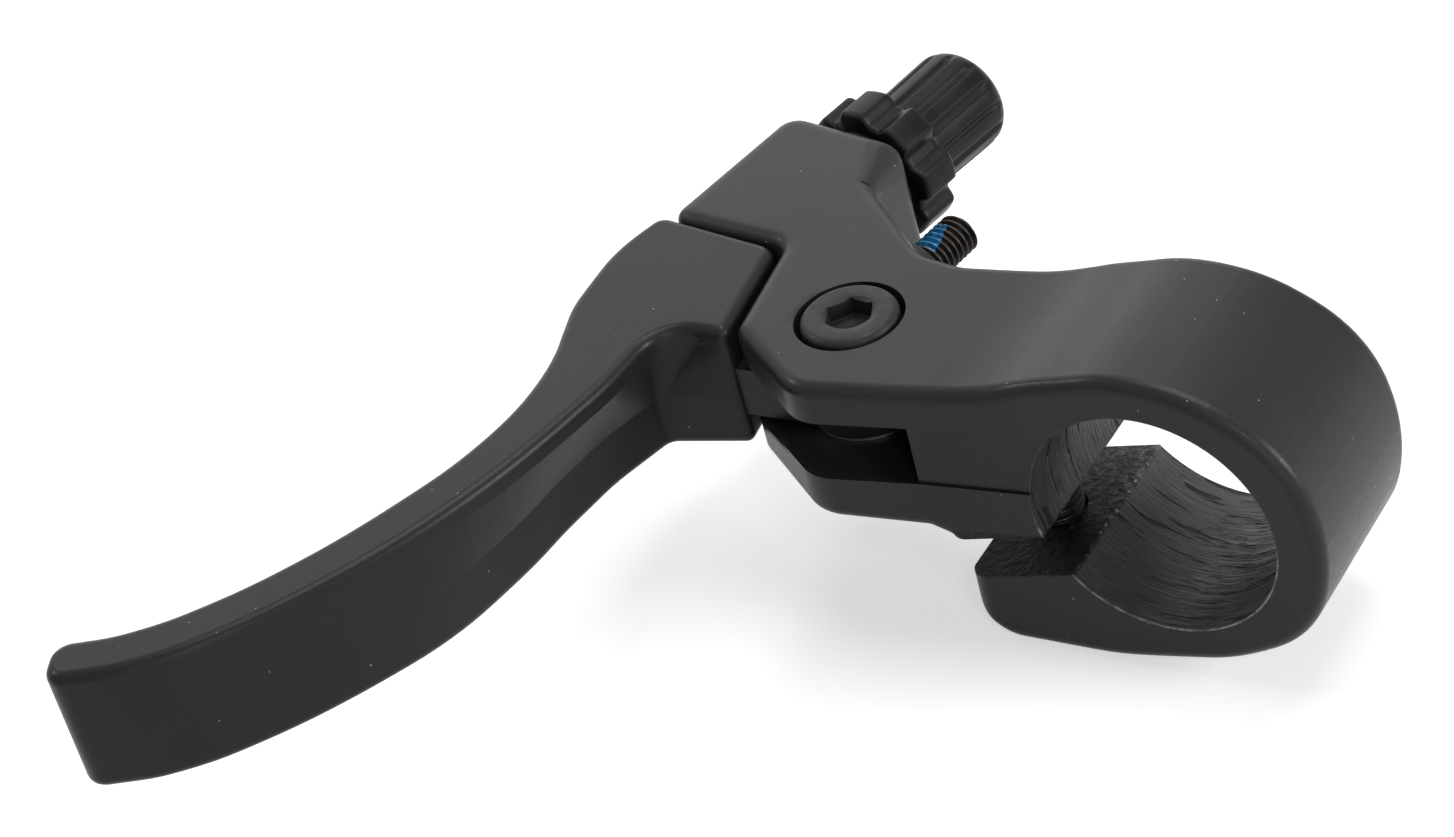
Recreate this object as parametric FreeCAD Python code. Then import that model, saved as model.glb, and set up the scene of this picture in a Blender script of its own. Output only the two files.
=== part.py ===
"""Bicycle brake lever for a 22.2 mm handlebar, two-finger blade, with a barrel adjuster.

Frame, in millimetres: the origin is the centre of the handlebar clamp's bore.
+Y runs along the handlebar, +Z is the lever pivot's axis towards its bolt head,
and the clamp's arm reaches to -X. The blade hangs on the -Y side of the pivot.
"""
import FreeCAD, Part
import math
import os

from FreeCAD import Vector

# Handlebar clamp: bore, width along the bar and wall thickness round the ring
bore_radius = 11.15
clamp_width = 18.1
wall_top = 3.65
wall_shoulder = 3.75
wall_shoulder_low = 4.25
wall_back = 4.05
wall_corner = 4.35
wall_bottom = 3.7
jaw_depth = 16.05
jaw_reach = 19.25
jaw_split_z = -7.1
jaw_split_fall = 2.4
jaw_tip_round = 4.3
jaw_corner_round = 2.2
jaw_corner_over = 0.1
gap_roof_z = -3.4
gap_mouth = 1.4
clamp_boss_bottom = -4.2
clamp_boss_slope = 1.8

# Directions round the ring, in degrees above level, at which its wall thickness is given
ring_top_deg = 94.0
ring_shoulder_deg = 62.0
ring_shoulder_low_deg = 36.0
ring_corner_deg = -38.0
ring_bottom_deg = -66.0
ring_foot_deg = -92.0
wall_foot_extra = 0.3
jaw_start_share = 0.72

# Arm of the bracket
arm_top = 11.57
arm_bottom = -2.35
arm_slope_start_x = -39.0
arm_bottom_at_clamp = -3.3
saddle_start_x = -21.0
saddle_middle_x = -13.5
saddle_middle_rise = 0.35
saddle_end_x = -8.0
saddle_end_rise = 1.85
edge_round = 1.2
arm_bend_round = 6.0
clamp_boss_round = 1.2
sharp_round = 0.5

# Pivot of the lever, and the two plates that hold it
pivot_x = -30.0
pivot_y = -1.66
plate_left_far = 11.3
plate_left_near = 9.6
plate_step_y = 8.7
plate_step_round = 1.8
plate_corner_y = -3.6
plate_near = 10.3
plate_corner_round = 1.6
plate_near_x = -0.5
plate_near_round = 4.4
arm_near_end_x = -11.0
arm_near_round = 12.0
arm_waist_x = -23.6
arm_waist_y = 7.55
arm_waist_round = 5.0
arm_far_end_x = -12.0
arm_far_round = 6.0
wall_foot_x = -28.3
wall_foot_y = 8.5
wall_foot_round = 4.5
wall_head_x = -37.5
wall_head_y = 16.8
wall_head_round = 2.0

# Barrel boss, placed along the barrel's axis
barrel_angle_deg = 11.25
barrel_offset = 48.4
boss_left = 6.65
boss_right = 6.8
boss_end = 15.6
boss_near_left = -2.0
boss_right_round = 1.2
boss_left_round = 2.2
boss_near_round = 1.4
boss_crest_round = 3.2

# Slot for the lever's tongue, and the shallow band that runs on from it
slot_bottom = 1.7
slot_top = 7.7
slot_end = 9.1
slot_far = 7.6
slot_far_fall = 0.4
slot_round = 1.0
slot_end_round = 2.0
band_depth = 0.25
band_top_fall = 0.6
band_bottom_fall = 1.1

# Lever: heights, shoulder and tongue
lever_top = 11.5
lever_bottom = -1.05
lever_gap = 0.55
shoulder_near = 4.5
shoulder_near_round = 0.8
blade_round = 1.0
hub_radius = 5.2
tongue_near = 4.1
tongue_far = 5.2
tongue_root = 3.0

# Corners of the shoulder from the pivot, with their rounding
shoulder_far_left = (-25.3, 10.5)
shoulder_far_left_round = 1.5
shoulder_far_right = (-11.85, 8.2)
shoulder_far_right_round = 2.2
shoulder_inner = (-16.6, -4.5)
shoulder_inner_round = 3.8
# The finger side of the shoulder, from the pivot
shoulder_back = [
    (-26.15, 7.8),
    (-26.9, 4.2),
    (-26.85, -0.25),
    (-26.5, -3.95),
    (-25.65, -6.85),
]

# The blade from shoulder to tip: bar side x and y from the pivot, thickness, and the undercut below
blade_stations = [
    (-17.0, -11.4, 7.7, 2.2),
    (-18.1, -18.3, 5.85, 2.35),
    (-20.0, -26.3, 5.15, 1.3),
    (-23.05, -34.85, 5.2, 0.15),
    (-27.05, -42.75, 5.1, 0.0),
    (-31.7, -49.8, 5.1, 0.0),
    (-36.2, -54.9, 5.15, 0.0),
    (-40.5, -58.0, 5.1, 0.0),
]
undercut_inner = (-17.7, -6.3)
undercut_inner_round = 1.0
undercut_bottom = 4.4
undercut_top = 9.6
tip_bar = (-44.95, -60.2)
tip_finger = (-47.1, -55.7)
tip_round = 2.0

# Pivot bolt, bush, washers and nut
pivot_radius = 3.0
pivot_head_radius = 4.4
pivot_head_height = 3.15
pivot_head_round = 0.9
clamp_head_round = 0.45
pivot_recess_radius = 4.95
pivot_recess_depth = 2.75
pivot_thread_radius = 2.5
pivot_hex = 4.0
pivot_hex_depth = 1.8
bush_wall = 1.0
running_gap = 0.04
seat_gap = 0.05
pivot_washer_radius = 4.9
pivot_washer_thick = 0.4
nut_seat_radius = 5.0
pivot_nut_flats = 8.0
pivot_nut_height = 3.0
nut_bevel_slope = 1.5
thread_stand_out = 0.6

# Clamp bolt and its washer
clamp_bolt_radius = 2.5
clamp_bolt_wall = 0.8
clamp_bolt_height = 8.0
clamp_head_radius = 4.25
clamp_head_height = 3.5
clamp_head_sink = 0.3
clamp_hex = 4.0
clamp_hex_depth = 2.2
clamp_washer_radius = 4.5
clamp_washer_thick = 0.8
counterbore_radius = 4.7
clearance_hole_gap = 0.25

# Barrel adjuster and its locknut
stem_radius = 3.5
stem_length = 12.0
stem_end_room = 0.5
cable_radius = 1.3
cable_hole_radius = 1.7
housing_radius = 2.6
housing_depth = 8.5
knob_radius = 5.1
knob_length = 10.85
knob_round = 1.3
flute_count = 14
flute_radius = 0.8
flute_depth = 0.35
flute_turn_deg = 10.0
locknut_radius = 7.05
locknut_length = 5.6
locknut_gap = 0.35
locknut_round = 0.4
locknut_hub_radius = 5.0
locknut_hub_length = 1.2
lobe_count = 8
lobe_cut_radius = 1.9
lobe_depth = 0.85
lobe_turn_deg = 28.0
knob_gap = 0.15
thread_chamfer = 0.5

# Reach-adjusting screw and its locking patch
reach_angle_deg = 10.0
reach_offset = 34.4
reach_rise = 0.1
reach_radius = 2.0
reach_length = 15.2
reach_tip = 14.6
reach_gap = 0.02
reach_hex = 2.0
reach_hex_depth = 2.5
reach_spot_radius = 3.4
reach_spot_start = 2.0
reach_spot_end = 7.6
reach_pad_radius = 2.35
patch_from_tip = 5.4
patch_length = 3.4
patch_depth = 0.3
patch_proud = 0.05
patch_from_deg = 225.0
patch_span_deg = 95.0

# Seat of the cable's end in the lever's shoulder
nipple_radius = 3.6
nipple_half_height = 3.5
nipple_station = -10.5
cable_slot = 2.2

axis_height = (slot_bottom + slot_top) / 2
half_width = clamp_width / 2
past_ring_x = 2 * bore_radius
cut_margin = 1.0
far_away = 60.0


def plan(x, y):
    """Point of an outline drawn from above."""
    return Vector(x, y, 0)


def side(x, z):
    """Point of an outline drawn along the handlebar."""
    return Vector(x, 0, z)


def from_pivot(x, y):
    """Plan point given from the pivot's axis."""
    return pivot_x + x, pivot_y + y


class Axis:
    """A level line through the plan: a place along it, across it and above it."""

    def __init__(self, angle_deg, offset, height):
        angle = math.radians(angle_deg)
        self.along = Vector(math.sin(angle), math.cos(angle), 0)
        self.across = Vector(math.cos(angle), -math.sin(angle), 0)
        self.foot = self.across * -offset + Vector(0, 0, height)

    def at(self, along, across=0.0, up=0.0):
        """Point at the given distances from the axis's foot."""
        return self.foot + self.along * along + self.across * across + Vector(0, 0, up)

    def plan_at(self, along, across=0.0):
        """The same point as a plan pair."""
        point = self.at(along, across)
        return point.x, point.y

    def cylinder(self, radius, start, end):
        """Cylinder on the axis between two places along it."""
        return Part.makeCylinder(radius, end - start, self.at(start), self.along)


barrel_axis = Axis(barrel_angle_deg, barrel_offset, axis_height)
reach_axis = Axis(reach_angle_deg, reach_offset, axis_height + reach_rise)


def corner_edges(corners, lift):
    """Edges through (a, b, radius) corners, with a tangent arc at each one but the ends."""
    points = [lift(a, b) for a, b, _ in corners]
    edges = []
    start = points[0]
    for index in range(1, len(points) - 1):
        here = points[index]
        back = (points[index - 1] - here).normalize()
        ahead = (points[index + 1] - here).normalize()
        half_angle = back.getAngle(ahead) / 2
        radius = corners[index][2]
        reach = radius / math.tan(half_angle)
        middle_way = (back + ahead).normalize()
        arc_start = here + back * reach
        arc_end = here + ahead * reach
        arc_middle = here + middle_way * (radius / math.sin(half_angle) - radius)
        edges.append(Part.LineSegment(start, arc_start).toShape())
        edges.append(Part.Arc(arc_start, arc_middle, arc_end).toShape())
        start = arc_end
    edges.append(Part.LineSegment(start, points[-1]).toShape())
    return edges


def closed_corners(corners, lift):
    """Closed outline of straight runs and tangent arcs, starting half way along its first run."""
    first, second = corners[0], corners[1]
    middle = ((first[0] + second[0]) / 2, (first[1] + second[1]) / 2, 0)
    ring = [middle] + list(corners[1:]) + [first, middle]
    return corner_edges(ring, lift)


def arc_from(start, way, end):
    """Circular arc that leaves start along way and ends at end, or a line where it's straight."""
    chord = end - start
    turn = way.getAngle(chord)
    if turn < 1e-4:
        return Part.LineSegment(start, end).toShape()
    aside = (way - chord * (way.dot(chord) / chord.dot(chord))).normalize()
    middle = start + chord * 0.5 + aside * (chord.Length / 2 * math.tan(turn / 2))
    return Part.Arc(start, middle, end).toShape()


def arc_pair(start, start_way, end, end_way):
    """Two tangent arcs from start to end with the directions given at both."""
    chord = end - start
    spread = 2 * (1 - start_way.dot(end_way))
    along = chord.dot(start_way + end_way)
    if spread < 1e-9:
        arm = chord.dot(chord) / (2 * along)
    else:
        arm = (math.sqrt(along * along + spread * chord.dot(chord)) - along) / spread
    joint = (start + end + (start_way - end_way) * arm) * 0.5
    joint_way = (end - end_way * arm - start - start_way * arm).normalize()
    return [arc_from(start, start_way, joint), arc_from(joint, joint_way, end)]


def smooth_edges(points, lift, start_way, end_way):
    """Tangent arcs through the points, leaving and arriving along the given directions."""
    places = [lift(a, b) for a, b in points]
    ways = [lift(*start_way).normalize()]
    for before, here, after in zip(places, places[1:], places[2:]):
        back = here - before
        ahead = after - here
        ways.append((back / back.dot(back) + ahead / ahead.dot(ahead)).normalize())
    ways.append(lift(*end_way).normalize())
    edges = []
    for index in range(len(places) - 1):
        edges += arc_pair(places[index], ways[index], places[index + 1], ways[index + 1])
    return edges


def upright(edges, bottom, top):
    """Plan outline raised between two heights."""
    face = Part.Face(Part.Wire(edges))
    face.translate(Vector(0, 0, bottom))
    return face.extrude(Vector(0, 0, top - bottom))


def hexagon(flats, height, centre, direction):
    """Hexagonal prism across the given flats."""
    corner = flats / math.sqrt(3)
    turn = FreeCAD.Rotation(Vector(0, 0, 1), direction)
    points = []
    for step in range(7):
        angle = math.radians(60 * step)
        points.append(Vector(corner * math.cos(angle), corner * math.sin(angle), 0))
    face = Part.Face(Part.makePolygon(points))
    solid = face.extrude(Vector(0, 0, height))
    solid.Placement = FreeCAD.Placement(centre, turn)
    return solid


def is_rim(edge):
    """True for an edge of the bracket's plan form that runs neither upright nor across the arm."""
    return not runs_along(edge, "z") and not runs_along(edge, "y")


def edges_where(shape, test):
    """The edges whose middle point passes the test."""
    found = []
    for edge in shape.Edges:
        middle = edge.valueAt((edge.FirstParameter + edge.LastParameter) / 2)
        if test(edge, middle):
            found.append(edge)
    return found


def ring_point(angle_deg, wall):
    """Point of the clamp ring's outside, as seen along the bar."""
    angle = math.radians(angle_deg)
    radius = bore_radius + wall
    return radius * math.cos(angle), radius * math.sin(angle)


def clamp_bolt_x():
    """Where the clamp bolt passes, just clear of the bar."""
    return -(bore_radius + clamp_bolt_wall + clamp_bolt_radius + seat_gap)


def bracket_side_edges():
    """Side view of the bracket: arm, saddle, ring and jaw, before the clamp is split."""
    saddle_start = (saddle_start_x, arm_top)
    jaw_start = (-bore_radius * jaw_start_share, -jaw_depth)
    upper = [
        saddle_start,
        (saddle_middle_x, arm_top + saddle_middle_rise),
        (saddle_end_x, arm_top + saddle_end_rise),
        ring_point(ring_top_deg, wall_top),
        ring_point(ring_shoulder_deg, wall_shoulder),
        ring_point(ring_shoulder_low_deg, wall_shoulder_low),
        ring_point(0, wall_back),
    ]
    lower = [
        ring_point(0, wall_back),
        ring_point(ring_corner_deg, wall_corner),
        ring_point(ring_bottom_deg, wall_bottom),
        ring_point(ring_foot_deg, wall_bottom + wall_foot_extra),
        jaw_start,
    ]
    top = smooth_edges(upper, side, (1, 0), (0, -1))
    back = smooth_edges(lower, side, (0, -1), (-1, 0))
    underside = [
        jaw_start + (0,),
        (-jaw_reach, -jaw_depth, jaw_tip_round),
        (-jaw_reach, clamp_boss_bottom, sharp_round),
        (-jaw_reach - clamp_boss_slope, arm_bottom_at_clamp, clamp_boss_round),
        (arm_slope_start_x, arm_bottom, arm_bend_round),
        (-far_away, arm_bottom, sharp_round),
        (-far_away, arm_top, sharp_round),
        saddle_start + (0,),
    ]
    return top + back + corner_edges(underside, side)


def plate_corners():
    """Plan corners of the two plates that face the lever, from the boss to the near side."""
    step = from_pivot(-plate_left_far, plate_step_y)
    corner = from_pivot(-plate_left_near, plate_corner_y)
    near = from_pivot(plate_near_x, -plate_near)
    return step, corner, near


def bracket_plan_edges():
    """Plan of the bracket: boss, plates, arm and clamp."""
    step, corner, near = plate_corners()
    corners = [
        (past_ring_x, half_width, sharp_round),
        (arm_far_end_x, half_width, arm_far_round),
        (arm_waist_x, arm_waist_y, arm_waist_round),
        (wall_foot_x, wall_foot_y, wall_foot_round),
        (wall_head_x, wall_head_y, wall_head_round),
        barrel_axis.plan_at(boss_end, boss_right) + (boss_right_round,),
        barrel_axis.plan_at(boss_end, -boss_left) + (boss_left_round,),
        barrel_axis.plan_at(boss_near_left, -boss_left) + (boss_near_round,),
        step + (plate_step_round,),
        corner + (plate_corner_round,),
        near + (plate_near_round,),
        (arm_near_end_x, -half_width, arm_near_round),
        (past_ring_x, -half_width, sharp_round),
    ]
    return closed_corners(corners, plan)


def across_clamp(plan_edges, keep):
    """Side form of the bracket cut to a plan outline, edges rounded, within the box to keep."""
    from_above = upright(plan_edges, -far_away, far_away)
    face = Part.Face(Part.Wire(bracket_side_edges()))
    face.translate(Vector(0, -far_away, 0))
    from_side = face.extrude(Vector(0, 2 * far_away, 0))
    body = from_above.common(from_side).common(keep)
    rims = edges_where(body, lambda edge, p: is_rim(edge) and keep.isInside(p, 0.01, False))
    return body.makeFillet(edge_round, rims)


def bracket_body():
    """The casting's outer form: arm with the ring's upper part, and the jaw with its lower part."""
    split = (jaw_split_z + clamp_boss_bottom) / 2
    above = Part.makeBox(3 * far_away, 2 * far_away, far_away, Vector(-2 * far_away, -far_away, split))
    below = above.translated(Vector(0, 0, -far_away))
    jaw_front = -jaw_reach - jaw_corner_over
    jaw_corners = [
        (past_ring_x, half_width, sharp_round),
        (jaw_front, half_width, jaw_corner_round),
        (jaw_front, -half_width, jaw_corner_round),
        (past_ring_x, -half_width, sharp_round),
    ]
    jaw = across_clamp(closed_corners(jaw_corners, plan), below)
    return across_clamp(bracket_plan_edges(), above).fuse(jaw)


def boss_crest():
    """What the boss loses along the top of its right wall, where the rounding grows towards the end."""
    head = Vector(wall_head_x, wall_head_y, arm_top)
    end_x, end_y = barrel_axis.plan_at(boss_end, boss_right)
    along = (Vector(end_x, end_y, arm_top) - head).normalize()
    outward = Vector(along.y, -along.x, 0)
    upward = Vector(0, 0, 1)
    length = (end_y - wall_head_y) / along.y
    growth = (boss_crest_round - edge_round) / length
    sections = []
    centres = []
    radii = []
    for place in (0.0, length + boss_right_round):
        edge = head + along * place
        radius = edge_round + growth * place
        on_top = edge - outward * radius
        on_wall = edge - upward * radius
        corners = [
            on_top,
            on_top + upward,
            edge + upward + outward,
            on_wall + outward,
            on_wall,
            on_top,
        ]
        sections.append(Part.makePolygon(corners))
        centres.append(on_top - upward * radius)
        radii.append(radius)
    wedge = Part.makeLoft(sections, True, True)
    way = centres[1] - centres[0]
    core = Part.makeCone(radii[0], radii[1], way.Length, centres[0], way)
    return wedge.cut(core)


def runs_along(edge, letter):
    """True for a straight edge along the named direction."""
    way = edge.valueAt(edge.LastParameter) - edge.valueAt(edge.FirstParameter)
    return edge.Curve.TypeId == "Part::GeomLine" and abs(getattr(way, letter)) > 0.999 * way.Length


def tongue_slot():
    """Space between the plates, open on the lever's side and on the near side."""
    left = pivot_x - far_away
    right = pivot_x + slot_end
    far = pivot_y + slot_far
    step, _, _ = plate_corners()
    corners = [
        (left, -far_away, slot_round),
        (right, -far_away, slot_round),
        (right, far, slot_end_round),
        (step[0], far, slot_round),
        (left, step[1] - slot_far_fall, slot_round),
    ]
    return upright(closed_corners(corners, plan), slot_bottom, slot_top)


def near_band():
    """Shallow recess along the near side, between the slot and the bore, falling towards the bore."""
    _, _, near = plate_corners()
    start = pivot_x + slot_end - seat_gap
    along = Vector(arm_near_end_x - near[0], -half_width - near[1], 0).normalize()
    outline = [
        (start, slot_top),
        (start, slot_bottom),
        (0, slot_bottom - band_bottom_fall),
        (0, slot_top - band_top_fall),
    ]
    points = [side(x, z) for x, z in outline]
    face = Part.Face(Part.makePolygon(points + points[:1]))
    face.translate(Vector(0, -far_away, 0))
    sheet = face.extrude(Vector(0, far_away, 0))
    inner_face = Vector(near[0], near[1] + band_depth, -far_away)
    corners = [
        inner_face,
        inner_face + along * far_away,
        inner_face + along * far_away - Vector(0, far_away, 0),
        inner_face - Vector(0, far_away, 0),
    ]
    outside = Part.Face(Part.makePolygon(corners + corners[:1])).extrude(Vector(0, 0, 2 * far_away))
    return sheet.common(outside)


def clamp_gap():
    """The sawn gap that lets the clamp close on the bar."""
    bore_edge_x = -math.sqrt(bore_radius ** 2 - jaw_split_z ** 2)
    outline = [
        (0, jaw_split_z),
        (bore_edge_x, jaw_split_z),
        (-jaw_reach, jaw_split_z - jaw_split_fall),
        (-far_away, jaw_split_z - jaw_split_fall),
        (-far_away, clamp_boss_bottom),
        (-jaw_reach + gap_mouth, clamp_boss_bottom),
        (-bore_radius, gap_roof_z),
        (0, gap_roof_z),
    ]
    points = [side(x, z) for x, z in outline]
    face = Part.Face(Part.makePolygon(points + points[:1]))
    face.translate(Vector(0, -far_away, 0))
    gap = face.extrude(Vector(0, 2 * far_away, 0))
    bar = Part.makeCylinder(bore_radius, 2 * far_away, Vector(0, -far_away, 0), Vector(0, 1, 0))
    return gap.fuse(bar)


def column(radius, bottom, top, x, y):
    """Upright cylinder."""
    return Part.makeCylinder(radius, top - bottom, Vector(x, y, bottom))


def jaw_seat_z():
    """Height of the counterbore's floor in the jaw, where the clamp washer seats."""
    return -jaw_depth + clamp_head_sink + clamp_head_height + clamp_washer_thick


def lever_bracket():
    """Cast body: handlebar clamp, arm, pivot plates and barrel boss."""
    spot = reach_axis.cylinder(reach_spot_radius, reach_spot_start, reach_spot_end)
    body = bracket_body().fuse(spot)
    bolt_x = clamp_bolt_x()
    cuts = [
        boss_crest(),
        tongue_slot(),
        near_band(),
        clamp_gap(),
        column(pivot_recess_radius, arm_top - pivot_recess_depth, far_away, pivot_x, pivot_y),
        column(pivot_radius + seat_gap, slot_top, arm_top, pivot_x, pivot_y),
        column(pivot_thread_radius + seat_gap, -far_away, slot_bottom, pivot_x, pivot_y),
        column(nut_seat_radius, -far_away, arm_bottom, pivot_x, pivot_y),
        column(clamp_bolt_radius + seat_gap, jaw_split_z, clamp_bolt_height, bolt_x, 0),
        column(clamp_bolt_radius + clearance_hole_gap, -far_away, jaw_split_z, bolt_x, 0),
        column(counterbore_radius, -far_away, jaw_seat_z(), bolt_x, 0),
        barrel_axis.cylinder(stem_radius + seat_gap, boss_end - stem_length - stem_end_room, far_away),
        barrel_axis.cylinder(cable_hole_radius, -far_away / 2, boss_end),
        reach_axis.cylinder(reach_radius + seat_gap, reach_tip - reach_length, far_away),
    ]
    for cut in cuts:
        body = body.cut(cut)
    return body.removeSplitter()


def blade_outline(undercut):
    """Plan of the lever, round the shoulder, the blade and its tip, with or without the undercut."""
    count = len(blade_stations)
    bar_side = []
    finger_side = []
    for index, (x, y, thick, recess) in enumerate(blade_stations):
        before = blade_stations[max(index - 1, 0)]
        after = blade_stations[min(index + 1, count - 1)]
        way = Vector(after[0] - before[0], after[1] - before[1], 0).normalize()
        inward = Vector(way.y, -way.x, 0)
        depth = recess if undercut else 0.0
        bar_side.append(from_pivot(x + inward.x * depth, y + inward.y * depth))
        finger_side.append(from_pivot(x + inward.x * thick, y + inward.y * thick))
    back = [from_pivot(x, y) for x, y in shoulder_back]
    _, corner, _ = plate_corners()
    far_left = from_pivot(*shoulder_far_left)
    inner = from_pivot(*(undercut_inner if undercut else shoulder_inner))
    inner_round = undercut_inner_round if undercut else shoulder_inner_round
    near_right = (corner[0] - lever_gap, pivot_y - shoulder_near)
    shoulder = [
        back[0] + (0,),
        far_left + (shoulder_far_left_round,),
        from_pivot(*shoulder_far_right) + (shoulder_far_right_round,),
        near_right + (shoulder_near_round,),
        inner + (inner_round,),
        bar_side[0] + (0,),
    ]
    tip = [
        bar_side[-1] + (0,),
        from_pivot(*tip_bar) + (tip_round,),
        from_pivot(*tip_finger) + (tip_round,),
        finger_side[-1] + (0,),
    ]
    leave_shoulder = (bar_side[0][0] - inner[0], bar_side[0][1] - inner[1])
    reach_tip_way = (tip[1][0] - tip[0][0], tip[1][1] - tip[0][1])
    leave_tip = (tip[3][0] - tip[2][0], tip[3][1] - tip[2][1])
    reach_shoulder = (far_left[0] - back[0][0], far_left[1] - back[0][1])
    bar_curve = smooth_edges(bar_side, plan, leave_shoulder, reach_tip_way)
    finger_points = finger_side[::-1] + back[::-1]
    finger_curve = smooth_edges(finger_points, plan, leave_tip, reach_shoulder)
    return bar_curve + corner_edges(tip, plan) + finger_curve + corner_edges(shoulder, plan)


def blade_body():
    """Lever's blade and shoulder: full plan on top, undercut plan below, and a slope between."""
    upper = upright(blade_outline(False), undercut_top, lever_top)
    lower = upright(blade_outline(True), lever_bottom, undercut_bottom)
    low_wire = Part.Wire(blade_outline(True))
    low_wire.translate(Vector(0, 0, undercut_bottom))
    high_wire = Part.Wire(blade_outline(False))
    high_wire.translate(Vector(0, 0, undercut_top))
    slope = Part.makeLoft([low_wire, high_wire], True, True)
    body = upper.fuse([slope, lower])
    rims = edges_where(
        body, lambda edge, p: abs(p.z - lever_top) < 0.01 or abs(p.z - lever_bottom) < 0.01
    )
    return body.makeFillet(blade_round, rims)


def tongue_heights():
    """Bottom and top of the tongue, between the two washers."""
    room = pivot_washer_thick + 2 * seat_gap
    return slot_bottom + room, slot_top - room


def lever_blade():
    """Lever: blade, shoulder with the cable's seat, and tongue with the pivot hub."""
    blade = blade_body()
    bottom, top = tongue_heights()
    _, corner, _ = plate_corners()
    root_x = corner[0] - lever_gap - tongue_root
    web = Part.makeBox(
        pivot_x - root_x, tongue_near + tongue_far, top - bottom,
        Vector(root_x, pivot_y - tongue_near, bottom),
    )
    hub = column(hub_radius, bottom, top, pivot_x, pivot_y)
    pad_end = reach_tip - reach_length - reach_gap
    pad = reach_axis.cylinder(reach_pad_radius, -tongue_far, pad_end)
    lever = blade.fuse([web, hub, pad])
    screw_room = reach_axis.cylinder(reach_pad_radius + clearance_hole_gap, pad_end, reach_tip)
    lever = lever.cut(screw_room)
    bush_radius = pivot_radius + running_gap + bush_wall
    lever = lever.cut(column(bush_radius, bottom - cut_margin, top + cut_margin, pivot_x, pivot_y))
    return lever.cut(cable_seat()).removeSplitter()


def cable_seat():
    """Pocket for the cable's barrel end and the slot that leads the cable to it."""
    centre = barrel_axis.at(nipple_station)
    floor = lever_bottom - cut_margin
    pocket = column(nipple_radius, floor, axis_height + nipple_half_height, centre.x, centre.y)
    height = axis_height + cable_slot / 2 - floor
    slot = Part.makeBox(cable_slot, far_away, height, Vector(-cable_slot / 2, 0, 0))
    turn = FreeCAD.Rotation(Vector(0, 0, 1), -barrel_angle_deg)
    slot.Placement = FreeCAD.Placement(Vector(centre.x, centre.y, floor), turn)
    return pocket.fuse(slot)


def pivot_bolt():
    """Shoulder bolt with a round head and a hexagon socket, its thread through the lower plate."""
    head_bottom = arm_top - pivot_recess_depth
    head_top = head_bottom + pivot_head_height
    tail = arm_bottom - pivot_nut_height - thread_stand_out
    head = column(pivot_head_radius, head_bottom, head_top, pivot_x, pivot_y)
    rim = edges_where(head, lambda edge, p: edge.Closed and p.z > head_top - 0.01)
    head = head.makeFillet(pivot_head_round, rim)
    shoulder = column(pivot_radius, slot_bottom, head_bottom, pivot_x, pivot_y)
    thread = column(pivot_thread_radius, tail, slot_bottom, pivot_x, pivot_y)
    end = edges_where(thread, lambda edge, p: edge.Closed and p.z < tail + 0.01)
    thread = thread.makeChamfer(thread_chamfer, end)
    socket_floor = Vector(pivot_x, pivot_y, head_top - pivot_hex_depth)
    socket = hexagon(pivot_hex, pivot_hex_depth, socket_floor, Vector(0, 0, 1))
    return head.fuse([shoulder, thread]).cut(socket).removeSplitter()


def pivot_bush():
    """Plain bush pressed into the lever's hub."""
    bottom, top = tongue_heights()
    inner = pivot_radius + running_gap
    outer = inner + bush_wall
    tube = column(outer, bottom, top, pivot_x, pivot_y)
    return tube.cut(column(inner, bottom, top, pivot_x, pivot_y))


def pivot_washer(bottom):
    """Thin washer between the hub and a plate."""
    top = bottom + pivot_washer_thick
    disc = column(pivot_washer_radius, bottom, top, pivot_x, pivot_y)
    return disc.cut(column(pivot_radius + seat_gap, bottom, top, pivot_x, pivot_y))


def pivot_nut():
    """Hexagon nut under the lower plate."""
    bottom = arm_bottom - pivot_nut_height
    centre = Vector(pivot_x, pivot_y, bottom)
    nut = hexagon(pivot_nut_flats, pivot_nut_height, centre, Vector(0, 0, 1))
    bevel_radius = pivot_nut_flats / 2 + seat_gap
    bevel_spread = pivot_nut_height * nut_bevel_slope
    bevel = Part.makeCone(bevel_radius, bevel_radius + bevel_spread, pivot_nut_height, centre)
    nut = nut.common(bevel)
    return nut.cut(column(pivot_thread_radius + seat_gap, bottom, arm_bottom, pivot_x, pivot_y))


def clamp_bolt():
    """Socket-head bolt that closes the clamp, driven from below."""
    bolt_x = clamp_bolt_x()
    head_bottom = -jaw_depth + clamp_head_sink
    head_top = head_bottom + clamp_head_height
    head = column(clamp_head_radius, head_bottom, head_top, bolt_x, 0)
    rim = edges_where(head, lambda edge, p: edge.Closed and p.z < head_bottom + 0.01)
    head = head.makeFillet(clamp_head_round, rim)
    shank_top = clamp_bolt_height - thread_chamfer
    shank = column(clamp_bolt_radius, head_top, shank_top, bolt_x, 0)
    end = edges_where(shank, lambda edge, p: edge.Closed and p.z > shank_top - 0.01)
    shank = shank.makeChamfer(thread_chamfer, end)
    socket = hexagon(clamp_hex, clamp_hex_depth, Vector(bolt_x, 0, head_bottom), Vector(0, 0, 1))
    return head.fuse(shank).cut(socket).removeSplitter()


def clamp_washer():
    """Washer under the clamp bolt's head."""
    bolt_x = clamp_bolt_x()
    bottom = jaw_seat_z() - clamp_washer_thick
    disc = column(clamp_washer_radius, bottom, jaw_seat_z(), bolt_x, 0)
    return disc.cut(column(clamp_bolt_radius + seat_gap, bottom, jaw_seat_z(), bolt_x, 0))


def knob_start():
    """Where the knob begins along the barrel's axis, just past the locknut."""
    return boss_end + locknut_gap + locknut_length + knob_gap


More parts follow.
